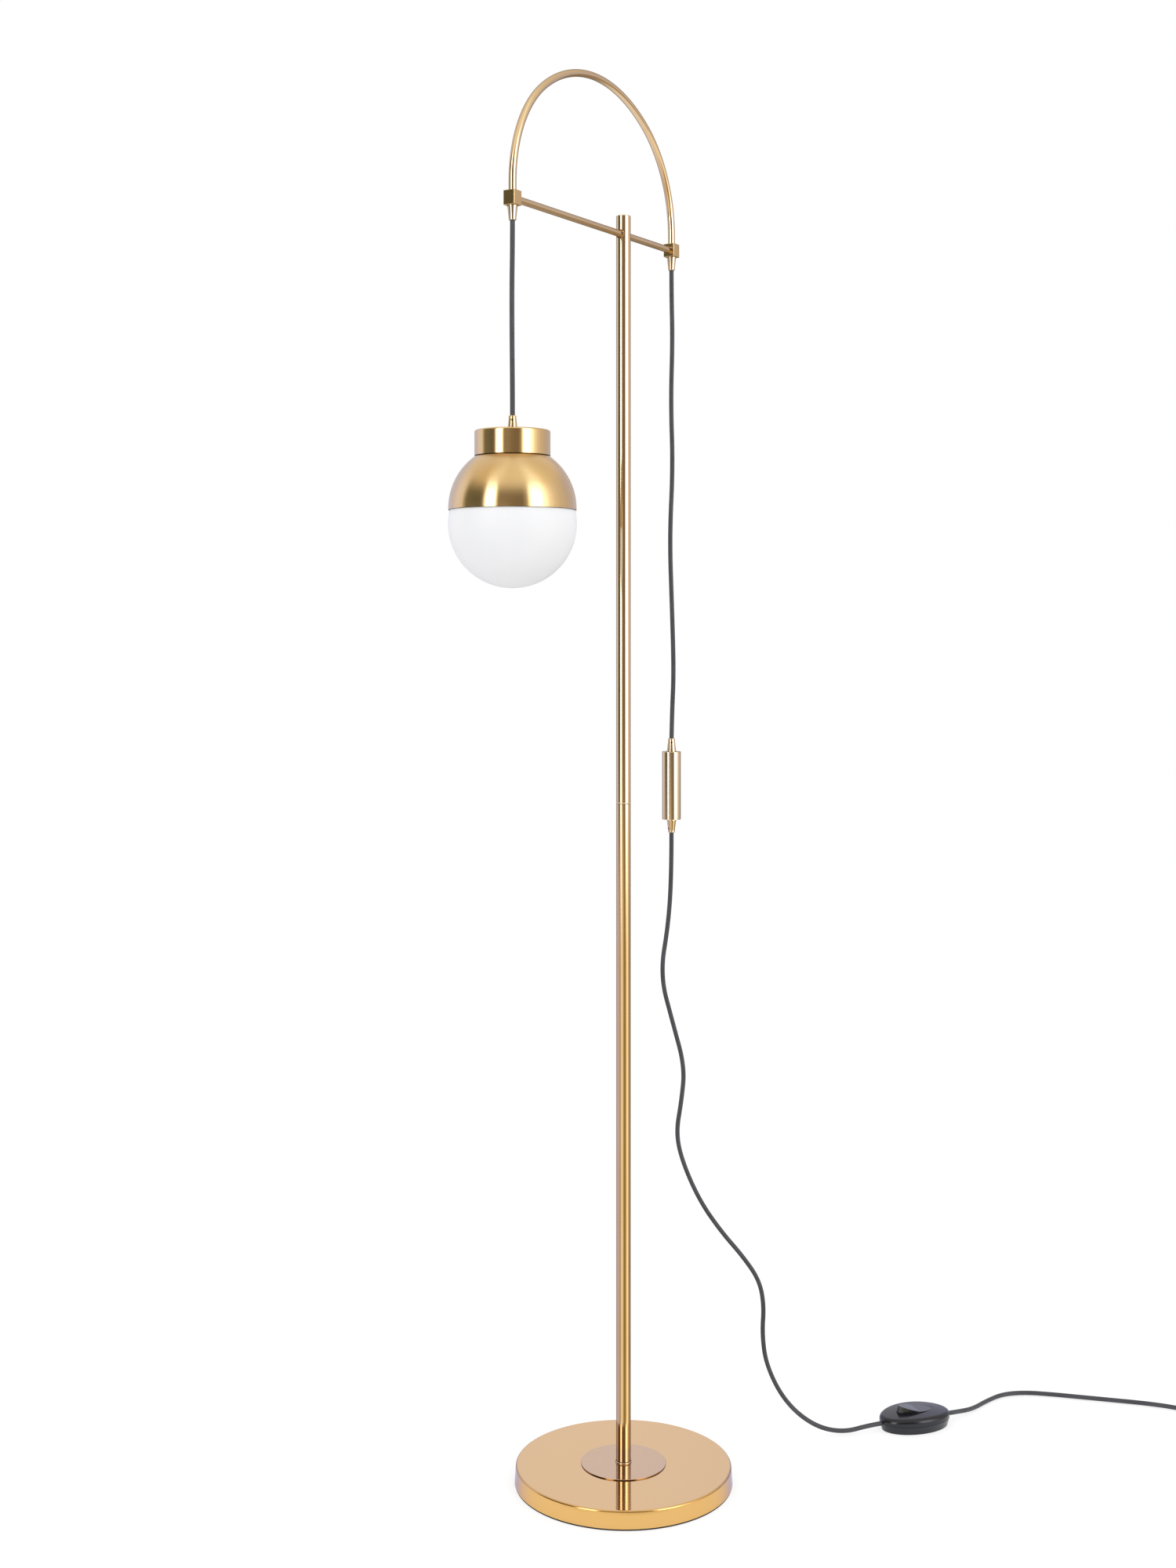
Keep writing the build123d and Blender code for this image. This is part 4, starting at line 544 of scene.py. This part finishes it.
def tail_route():
    """From the counterweight down to the floor and into the switch."""
    return [
        (107, 0, WEIGHT_TAIL_Z / MM), (107, 0, 658), (109, 5, 600), (105, 14, 540), (115, 3, 485),
        (124, -8, 433), (123, -4, 393), (121, 2, 356), (126, -4, 322), (138, -20, 277),
        (153, -40, 241), (168, -60, 212), (179, -76, 184), (183, -80, 154), (182, -78, 122),
        (186, -81, 85), (199, -98, 42), (218, -125, 13), (240, -153, FLOOR_CORD_Z),
        on_switch(-SWITCH_CORD_SEAT - SWITCH_CORD_RUN, SWITCH_CORD_Z),
        on_switch(-SWITCH_CORD_SEAT, SWITCH_CORD_Z),
    ]


def lead_route():
    """Over the floor from the switch to the coil."""
    return [
        on_switch(SWITCH_CORD_SEAT, SWITCH_CORD_Z),
        on_switch(SWITCH_CORD_SEAT + SWITCH_CORD_RUN, SWITCH_CORD_Z),
        (386, -256, FLOOR_CORD_Z), (420, -262, FLOOR_CORD_Z), (449, -271, FLOOR_CORD_Z),
        (469, -293, FLOOR_CORD_Z), (481, -325, FLOOR_CORD_Z), (491, -357, FLOOR_CORD_Z),
        (504, -398, FLOOR_CORD_Z), (517, -441, FLOOR_CORD_Z),
        (COIL_X + COIL_OUTER_RADIUS, -484, FLOOR_CORD_Z),
    ]


def coil_route():
    """The coil's turns: in on the floor, up one layer half-way, and out again on top."""
    points = []
    turns = 2 * COIL_TURNS_PER_LAYER
    for step in range(turns * COIL_POINTS_PER_TURN + 1):
        turn = step / COIL_POINTS_PER_TURN
        radius = COIL_OUTER_RADIUS - CORD_STEP * min(turn, turns - turn)
        # from 0 to 1 in the half turn round the middle, with an easy start and end
        climb = min(max((turn - COIL_TURNS_PER_LAYER) * 2 + 0.5, 0), 1)
        height = FLOOR_CORD_Z + CORD_STEP * climb * climb * (3 - 2 * climb)
        angle = -2 * pi * turn
        points.append((COIL_X + radius * cos(angle), COIL_Y + radius * sin(angle), height))
    return points


def plug_route():
    """From the coil's end down to the plug's axis."""
    x = COIL_X + COIL_OUTER_RADIUS
    start_y = COIL_Y - 2 * CORD_RADIUS / MM
    bend_y = start_y - PLUG_CORD_RUN
    level_y = bend_y - PLUG_CORD_SLOPE
    return [(x, bend_y, FLOOR_CORD_Z + CORD_STEP), (x, level_y, PLUG_AXIS_Z),
            (x, level_y - PLUG_CORD_RUN, PLUG_AXIS_Z)]


def in_metres(points):
    return [tuple(MM * value for value in point) for point in points]


def spline_object(name, points, radius, steps=SPLINE_STEPS):
    """Smooth round cord: one open NURBS spline with the route's points as its control points."""
    curve = bpy.data.curves.new(name, "CURVE")
    curve.dimensions = "3D"
    curve.resolution_u = steps
    curve.bevel_depth = radius
    curve.bevel_resolution = CORD_ROUND_STEPS
    curve.use_fill_caps = True
    spline = curve.splines.new("NURBS")
    spline.points.add(len(points) - 1)
    for knot, point in zip(spline.points, points):
        knot.co = (*point, 1.0)
    spline.order_u = SPLINE_ORDER
    spline.use_endpoint_u = True
    piece = bpy.data.objects.new(name, curve)
    bpy.context.collection.objects.link(piece)
    return piece


def spline_mesh(name, points, radius):
    """The same cord as a mesh tube, and the points of its line."""
    piece = spline_object(name + "_line", points, 0.0)
    bpy.context.view_layer.update()
    line = bpy.data.meshes.new_from_object(piece)
    path = [tuple(vertex.co) for vertex in line.vertices]
    piece.data.bevel_depth = radius
    bpy.context.view_layer.update()
    tube = bpy.data.meshes.new_from_object(piece)
    tube.name = name
    bpy.data.objects.remove(piece)
    bpy.data.meshes.remove(line)
    tube.polygons.foreach_set("use_smooth", [True] * len(tube.polygons))
    mesh_piece = bpy.data.objects.new(name, tube)
    bpy.context.collection.objects.link(mesh_piece)
    return mesh_piece, path


def drop_flex(flex):
    """Flex from the lamp-side guide to the lamp's grip, with the slight set that it keeps."""
    top, bottom = LAMP_GUIDE_Z - SWING_GAP * MM, LAMP_MOUTH_Z + BODY_GAP * MM
    run = top - bottom
    points = [(LAMP_X + side * MM, 0.0, top - share * run) for share, side in DROP_SET]
    piece, path = spline_mesh("drop_flex", points, CORD_RADIUS)
    paint(piece, flex)
    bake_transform(piece)
    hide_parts("drop_cord")


def weight_flex(flex):
    """Flex from the other guide to the counterweight: pulled down, but not quite straight. Its
    blend reaches past both of its ends, so that it neither bulges up through the arch nor shows a
    gap as the counterweight travels."""
    top, bottom = WEIGHT_GUIDE_Z, WEIGHT_MOUTH_Z + BODY_GAP * MM
    run = top - bottom
    points = [(WEIGHT_X + side * MM, -side * MM, top - share * run) for share, side in WEIGHT_SET]
    piece, path = spline_mesh("weight_flex", points, CORD_RADIUS)
    paint(piece, flex)
    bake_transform(piece)
    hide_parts("weight_cord")


def tail_flex(flex):
    """Flex that hangs from the counterweight and comes to rest on the floor at the switch."""
    piece, path = spline_mesh("tail_flex", in_metres(tail_route()), CORD_RADIUS)
    paint(piece, flex)
    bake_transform(piece)
    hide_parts("tail_cord")


def lead_flex(flex):
    """Flex from the switch over the floor, through the coil and into the plug."""
    points = in_metres(lead_route() + coil_route() + plug_route())
    piece = spline_object("lead_flex", points, CORD_RADIUS, LEAD_SPLINE_STEPS)
    paint(piece, flex)
    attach(piece, "stand")
    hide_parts("lead_cord", "cord_coil", "plug_cord")
    tie = coil_tie()


def coil_tie():
    """Hook-and-loop band round the coil's turns, on the side away from its ends."""
    hole = COIL_OUTER_RADIUS - CORD_STEP * COIL_TURNS_PER_LAYER
    radii = (hole - TIE_INSIDE, COIL_OUTER_RADIUS - CORD_STEP / 2 + TIE_OUTSIDE)
    heights = (TIE_LOW_Z, FLOOR_CORD_Z + CORD_STEP + TIE_OVER)
    inner = rounded_rectangle(radii, heights, TIE_CORNER)
    outer = rounded_rectangle((radii[0] - TIE_THICKNESS, radii[1] + TIE_THICKNESS),
                              (heights[0] - TIE_THICKNESS, heights[1] + TIE_THICKNESS),
                              TIE_CORNER + TIE_THICKNESS)
    mesh = bmesh.new()
    rows = []
    for outline in (outer, inner):
        for side in (-1, 1):
            y = MM * (COIL_Y + side * TIE_HALF_WIDTH)
            rows.append([mesh.verts.new((MM * (COIL_X - r), y, MM * z)) for r, z in outline])
    order = (0, 1, 3, 2)
    for first, second in zip(order, order[1:] + order[:1]):
        for i in range(len(outer)):
            j = (i + 1) % len(outer)
            mesh.faces.new((rows[first][i], rows[first][j], rows[second][j], rows[second][i]))
    bmesh.ops.recalc_face_normals(mesh, faces=mesh.faces)
    data = bpy.data.meshes.new("coil_tie")
    mesh.to_mesh(data)
    mesh.free()
    piece = bpy.data.objects.new("coil_tie", data)
    bpy.context.collection.objects.link(piece)
    paint(piece, tie_fabric())
    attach(piece, "stand")
    return piece


def rounded_rectangle(widths, heights, corner):
    """Outline of a rectangle with round corners, as (across, up) points."""
    points = []
    left, right = widths[0] + corner, widths[1] - corner
    low, high = heights[0] + corner, heights[1] - corner
    for x, y, start in ((right, high, 0), (left, high, 90), (left, low, 180), (right, low, 270)):
        for step in range(TIE_CORNER_STEPS + 1):
            a = radians(start + 90 * step / TIE_CORNER_STEPS)
            points.append((x + corner * cos(a), y + corner * sin(a)))
    return points


# ---- studio -----------------------------------------------------------------------------------------
# What polished metal sees, by bearing from the direction behind the camera, positive to its right:
# two soft panels with the dim room between and beside them, and the pale backdrop. Level with the
# camera first, then looking down towards the floor, then looking up over the panels.
ROOM_AHEAD = [
    (-180, (0.81, 0.80, 0.84)),
    (-160, (0.58, 0.60, 0.76)),
    (-140, (0.62, 0.64, 0.88)),
    (-114, (0.80, 0.79, 0.95)),
    (-102, (0.78, 0.75, 0.74)),
    (-94, (0.32, 0.28, 0.22)),
    (-88, (0.14, 0.13, 0.08)),
    (-62, (0.10, 0.10, 0.065)),
    (-55, (0.14, 0.13, 0.09)),
    (-50, (0.90, 0.85, 0.75)),
    (-46, (3.60, 3.60, 3.60)),
    (-31, (3.60, 3.60, 3.60)),
    (-27, (0.90, 0.80, 0.65)),
    (-23, (0.21, 0.17, 0.13)),
    (20, (0.18, 0.145, 0.11)),
    (28, (0.40, 0.36, 0.28)),
    (33, (1.50, 1.45, 1.30)),
    (38, (3.60, 3.60, 3.60)),
    (55, (3.30, 3.30, 3.30)),
    (66, (1.70, 1.62, 1.50)),
    (76, (1.05, 1.00, 0.92)),
    (88, (0.80, 0.74, 0.68)),
    (100, (0.68, 0.62, 0.58)),
    (122, (0.57, 0.54, 0.60)),
    (140, (0.55, 0.54, 0.70)),
    (160, (0.58, 0.60, 0.78)),
    (180, (0.81, 0.80, 0.84)),
]
ROOM_BELOW = [
    (-180, (0.60, 0.58, 0.60)),
    (-160, (0.56, 0.53, 0.60)),
    (-104, (0.60, 0.54, 0.64)),
    (-80, (0.58, 0.52, 0.58)),
    (-62, (0.48, 0.39, 0.36)),
    (-48, (0.46, 0.36, 0.29)),
    (-40, (0.88, 0.78, 0.62)),
    (-10, (0.88, 0.77, 0.52)),
    (-1, (0.50, 0.38, 0.18)),
    (7, (0.32, 0.23, 0.07)),
    (30, (0.32, 0.23, 0.07)),
    (42, (0.62, 0.48, 0.24)),
    (52, (1.10, 0.96, 0.70)),
    (74, (1.10, 0.96, 0.70)),
    (86, (0.55, 0.44, 0.28)),
    (101, (0.43, 0.34, 0.21)),
    (135, (0.34, 0.29, 0.24)),
    (155, (0.32, 0.28, 0.25)),
    (172, (0.42, 0.40, 0.40)),
    (180, (0.60, 0.58, 0.60)),
]
ROOM_ABOVE = [
    (-180, (0.81, 0.80, 0.84)),
    (-120, (0.74, 0.68, 0.62)),
    (-72, (0.72, 0.60, 0.42)),
    (-36, (0.97, 0.92, 0.80)),
    (-8, (0.86, 0.78, 0.63)),
    (20, (0.88, 0.81, 0.66)),
    (50, (1.08, 1.08, 1.00)),
    (80, (0.82, 0.74, 0.56)),
    (110, (0.72, 0.64, 0.52)),
    (180, (0.81, 0.80, 0.84)),
]
CEILING = (0.84, 0.79, 0.68, 1.0)
LOW_WHITE = (0.84, 0.82, 0.80, 1.0)

# Elevations in degrees between which each part of the room fades into the one over it.
LOW_WHITE_FADE = (-50, -28)
BELOW_FADE = (-9, -3)
AHEAD_FADE = (22, 44)
ABOVE_FADE = (64, 84)

DAYLIGHT = 0.97                 # strength of the soft light from all round
DIRECT_DEPTH = 2.5              # rays deeper than this have been mirrored more than once
SECOND_MIRROR_LOSS = 0.3

FLOOR_HALF = 6.0
FLOOR_DROP = 0.0005             # under the model's own floor
FLOOR_PAPER = (0.86, 0.86, 0.86, 1.0)
FLOOR_VEIL = (0.30, 0.30, 0.30, 1.0)
FLOOR_GLOW = 0.74
MIRRORED_FLOOR = (0.06, 0.10)   # metal shows the floor nearer than the first, and not past the second

LIGHT_TARGET = (0, 0, 0.8)
# place, size and power of each soft box
KEY = ((-0.6, -2.6, 2.6), (1.6, 1.6), 18)
FILL = ((-2.6, 0.6, 1.6), (1.4, 1.8), 9)


def camera():
    data = bpy.data.cameras.new("camera")
    data.sensor_width = SENSOR_WIDTH
    data.lens = CAMERA_LENS
    data.shift_y = CAMERA_SHIFT_Y
    data.clip_end = CAMERA_REACH
    view = bpy.data.objects.new("camera", data)
    view.location = CAMERA_PLACE
    view.rotation_euler = (pi / 2, 0, radians(CAMERA_YAW))
    bpy.context.collection.objects.link(view)
    bpy.context.scene.camera = view


def world():
    """White to the camera and through glass, a studio with panels in reflections, and soft light
    on the rest."""
    scene_world = bpy.data.worlds.new("studio")
    scene_world.use_nodes = True
    bpy.context.scene.world = scene_world
    graph = Graph(scene_world.node_tree)
    graph.nodes.clear()

    way = graph.add("ShaderNodeTexCoord").outputs["Generated"]
    yaw = radians(CAMERA_YAW)
    behind = graph.vector_math("DOT_PRODUCT", way, (sin(yaw), -cos(yaw), 0))
    right = graph.vector_math("DOT_PRODUCT", way, (cos(yaw), sin(yaw), 0))
    up = graph.vector_math("DOT_PRODUCT", way, (0, 0, 1))
    bearing = graph.math("ARCTAN2", right, behind)
    share = graph.math("MULTIPLY_ADD", bearing, 0.5 / pi, 0.5)
    elevation = graph.math("ARCSINE", up)

    def ramp(room):
        node = graph.add("ShaderNodeValToRGB")
        node.color_ramp.interpolation = "EASE"
        graph.fill(node, share)
        stops = node.color_ramp.elements
        while len(stops) < len(room):
            stops.new(0.5)
        for stop, (degrees_right, colour) in zip(stops, room):
            stop.position = 0.5 + degrees_right / 360
            stop.color = (*colour, 1.0)
        return node.outputs[0]

    def fade(first, second, low, high):
        """From the first colour to the second between two elevations in degrees."""
        step = graph.add("ShaderNodeMapRange", interpolation_type="SMOOTHSTEP")
        return graph.mix(graph.fill(step, elevation, radians(low), radians(high)), first, second)

    def background(colour, strength=1.0):
        return graph.fill(graph.add("ShaderNodeBackground"), colour, strength)

    low = fade(LOW_WHITE, ramp(ROOM_BELOW), *LOW_WHITE_FADE)
    ahead = fade(low, ramp(ROOM_AHEAD), *BELOW_FADE)
    above = fade(ahead, ramp(ROOM_ABOVE), *AHEAD_FADE)
    mirrored_room = fade(above, CEILING, *ABOVE_FADE)

    ray = graph.add("ShaderNodeLightPath").outputs
    # metal seen in metal is dimmer
    twice = graph.math("GREATER_THAN", ray["Ray Depth"], DIRECT_DEPTH)
    strength = graph.math("SUBTRACT", 1.0, graph.math("MULTIPLY", twice, SECOND_MIRROR_LOSS))
    white_ray = graph.math("MAXIMUM", ray["Is Camera Ray"], ray["Is Transmission Ray"])
    lit = graph.choose(white_ray, background(WHITE, DAYLIGHT), background(WHITE))
    sky = graph.choose(ray["Is Glossy Ray"], lit, background(mirrored_room, strength))
    graph.put(graph.add("ShaderNodeOutputWorld").inputs[0], sky)


def floor():
    """Pale floor that reads white, keeps the lamp's soft shadow, and shows in metal close by."""
    mesh = bpy.data.meshes.new("floor")
    mesh.from_pydata([(-FLOOR_HALF, -FLOOR_HALF, 0), (FLOOR_HALF, -FLOOR_HALF, 0),
                      (FLOOR_HALF, FLOOR_HALF, 0), (-FLOOR_HALF, FLOOR_HALF, 0)], [], [(0, 1, 2, 3)])
    plane = bpy.data.objects.new("floor", mesh)
    plane.location.z = -FLOOR_DROP
    bpy.context.collection.objects.link(plane)
    material = bpy.data.materials.new("floor")
    material.use_nodes = True
    graph = Graph(material.node_tree)
    graph.nodes.clear()
    paper = graph.fill(graph.add("ShaderNodeBsdfDiffuse"), FLOOR_PAPER)
    veil = graph.fill(graph.add("ShaderNodeBsdfDiffuse"), FLOOR_VEIL)
    glow = graph.fill(graph.add("ShaderNodeEmission"), WHITE, FLOOR_GLOW)
    shown = graph.fill(graph.add("ShaderNodeAddShader"), veil, glow)
    ray = graph.add("ShaderNodeLightPath").outputs
    seen = graph.math("MAXIMUM", ray["Is Camera Ray"], ray["Is Glossy Ray"])
    beyond = graph.fill(graph.add("ShaderNodeMapRange"), ray["Ray Length"], *MIRRORED_FLOOR)
    hidden = graph.math("MULTIPLY", beyond, ray["Is Glossy Ray"])
    clear = graph.add("ShaderNodeBsdfTransparent").outputs[0]
    surface = graph.choose(hidden, graph.choose(seen, paper, shown), clear)
    graph.put(graph.add("ShaderNodeOutputMaterial").inputs[0], surface)
    mesh.materials.append(material)


def soft_box(name, place, size, power):
    """Large area lamp that lights but isn't itself mirrored: the world's panels are."""
    data = bpy.data.lights.new(name, "AREA")
    data.shape = "RECTANGLE"
    data.size, data.size_y = size
    data.energy = power
    lamp = bpy.data.objects.new(name, data)
    lamp.location = place
    aim = Vector(LIGHT_TARGET) - Vector(place)
    lamp.rotation_euler = aim.to_track_quat("-Z", "Y").to_euler()
    lamp.visible_glossy = False
    lamp.visible_camera = False
    bpy.context.collection.objects.link(lamp)


def studio():
    camera()
    world()
    floor()
    soft_box("key", *KEY)
    soft_box("fill", *FILL)


# ---- build ------------------------------------------------------------------------------------------
def main():
    flex = dress()
    trims()
    drop_flex(flex)
    weight_flex(flex)
    tail_flex(flex)
    lead_flex(flex)
    studio()
    bpy.context.scene.view_settings.view_transform = "Standard"


main()
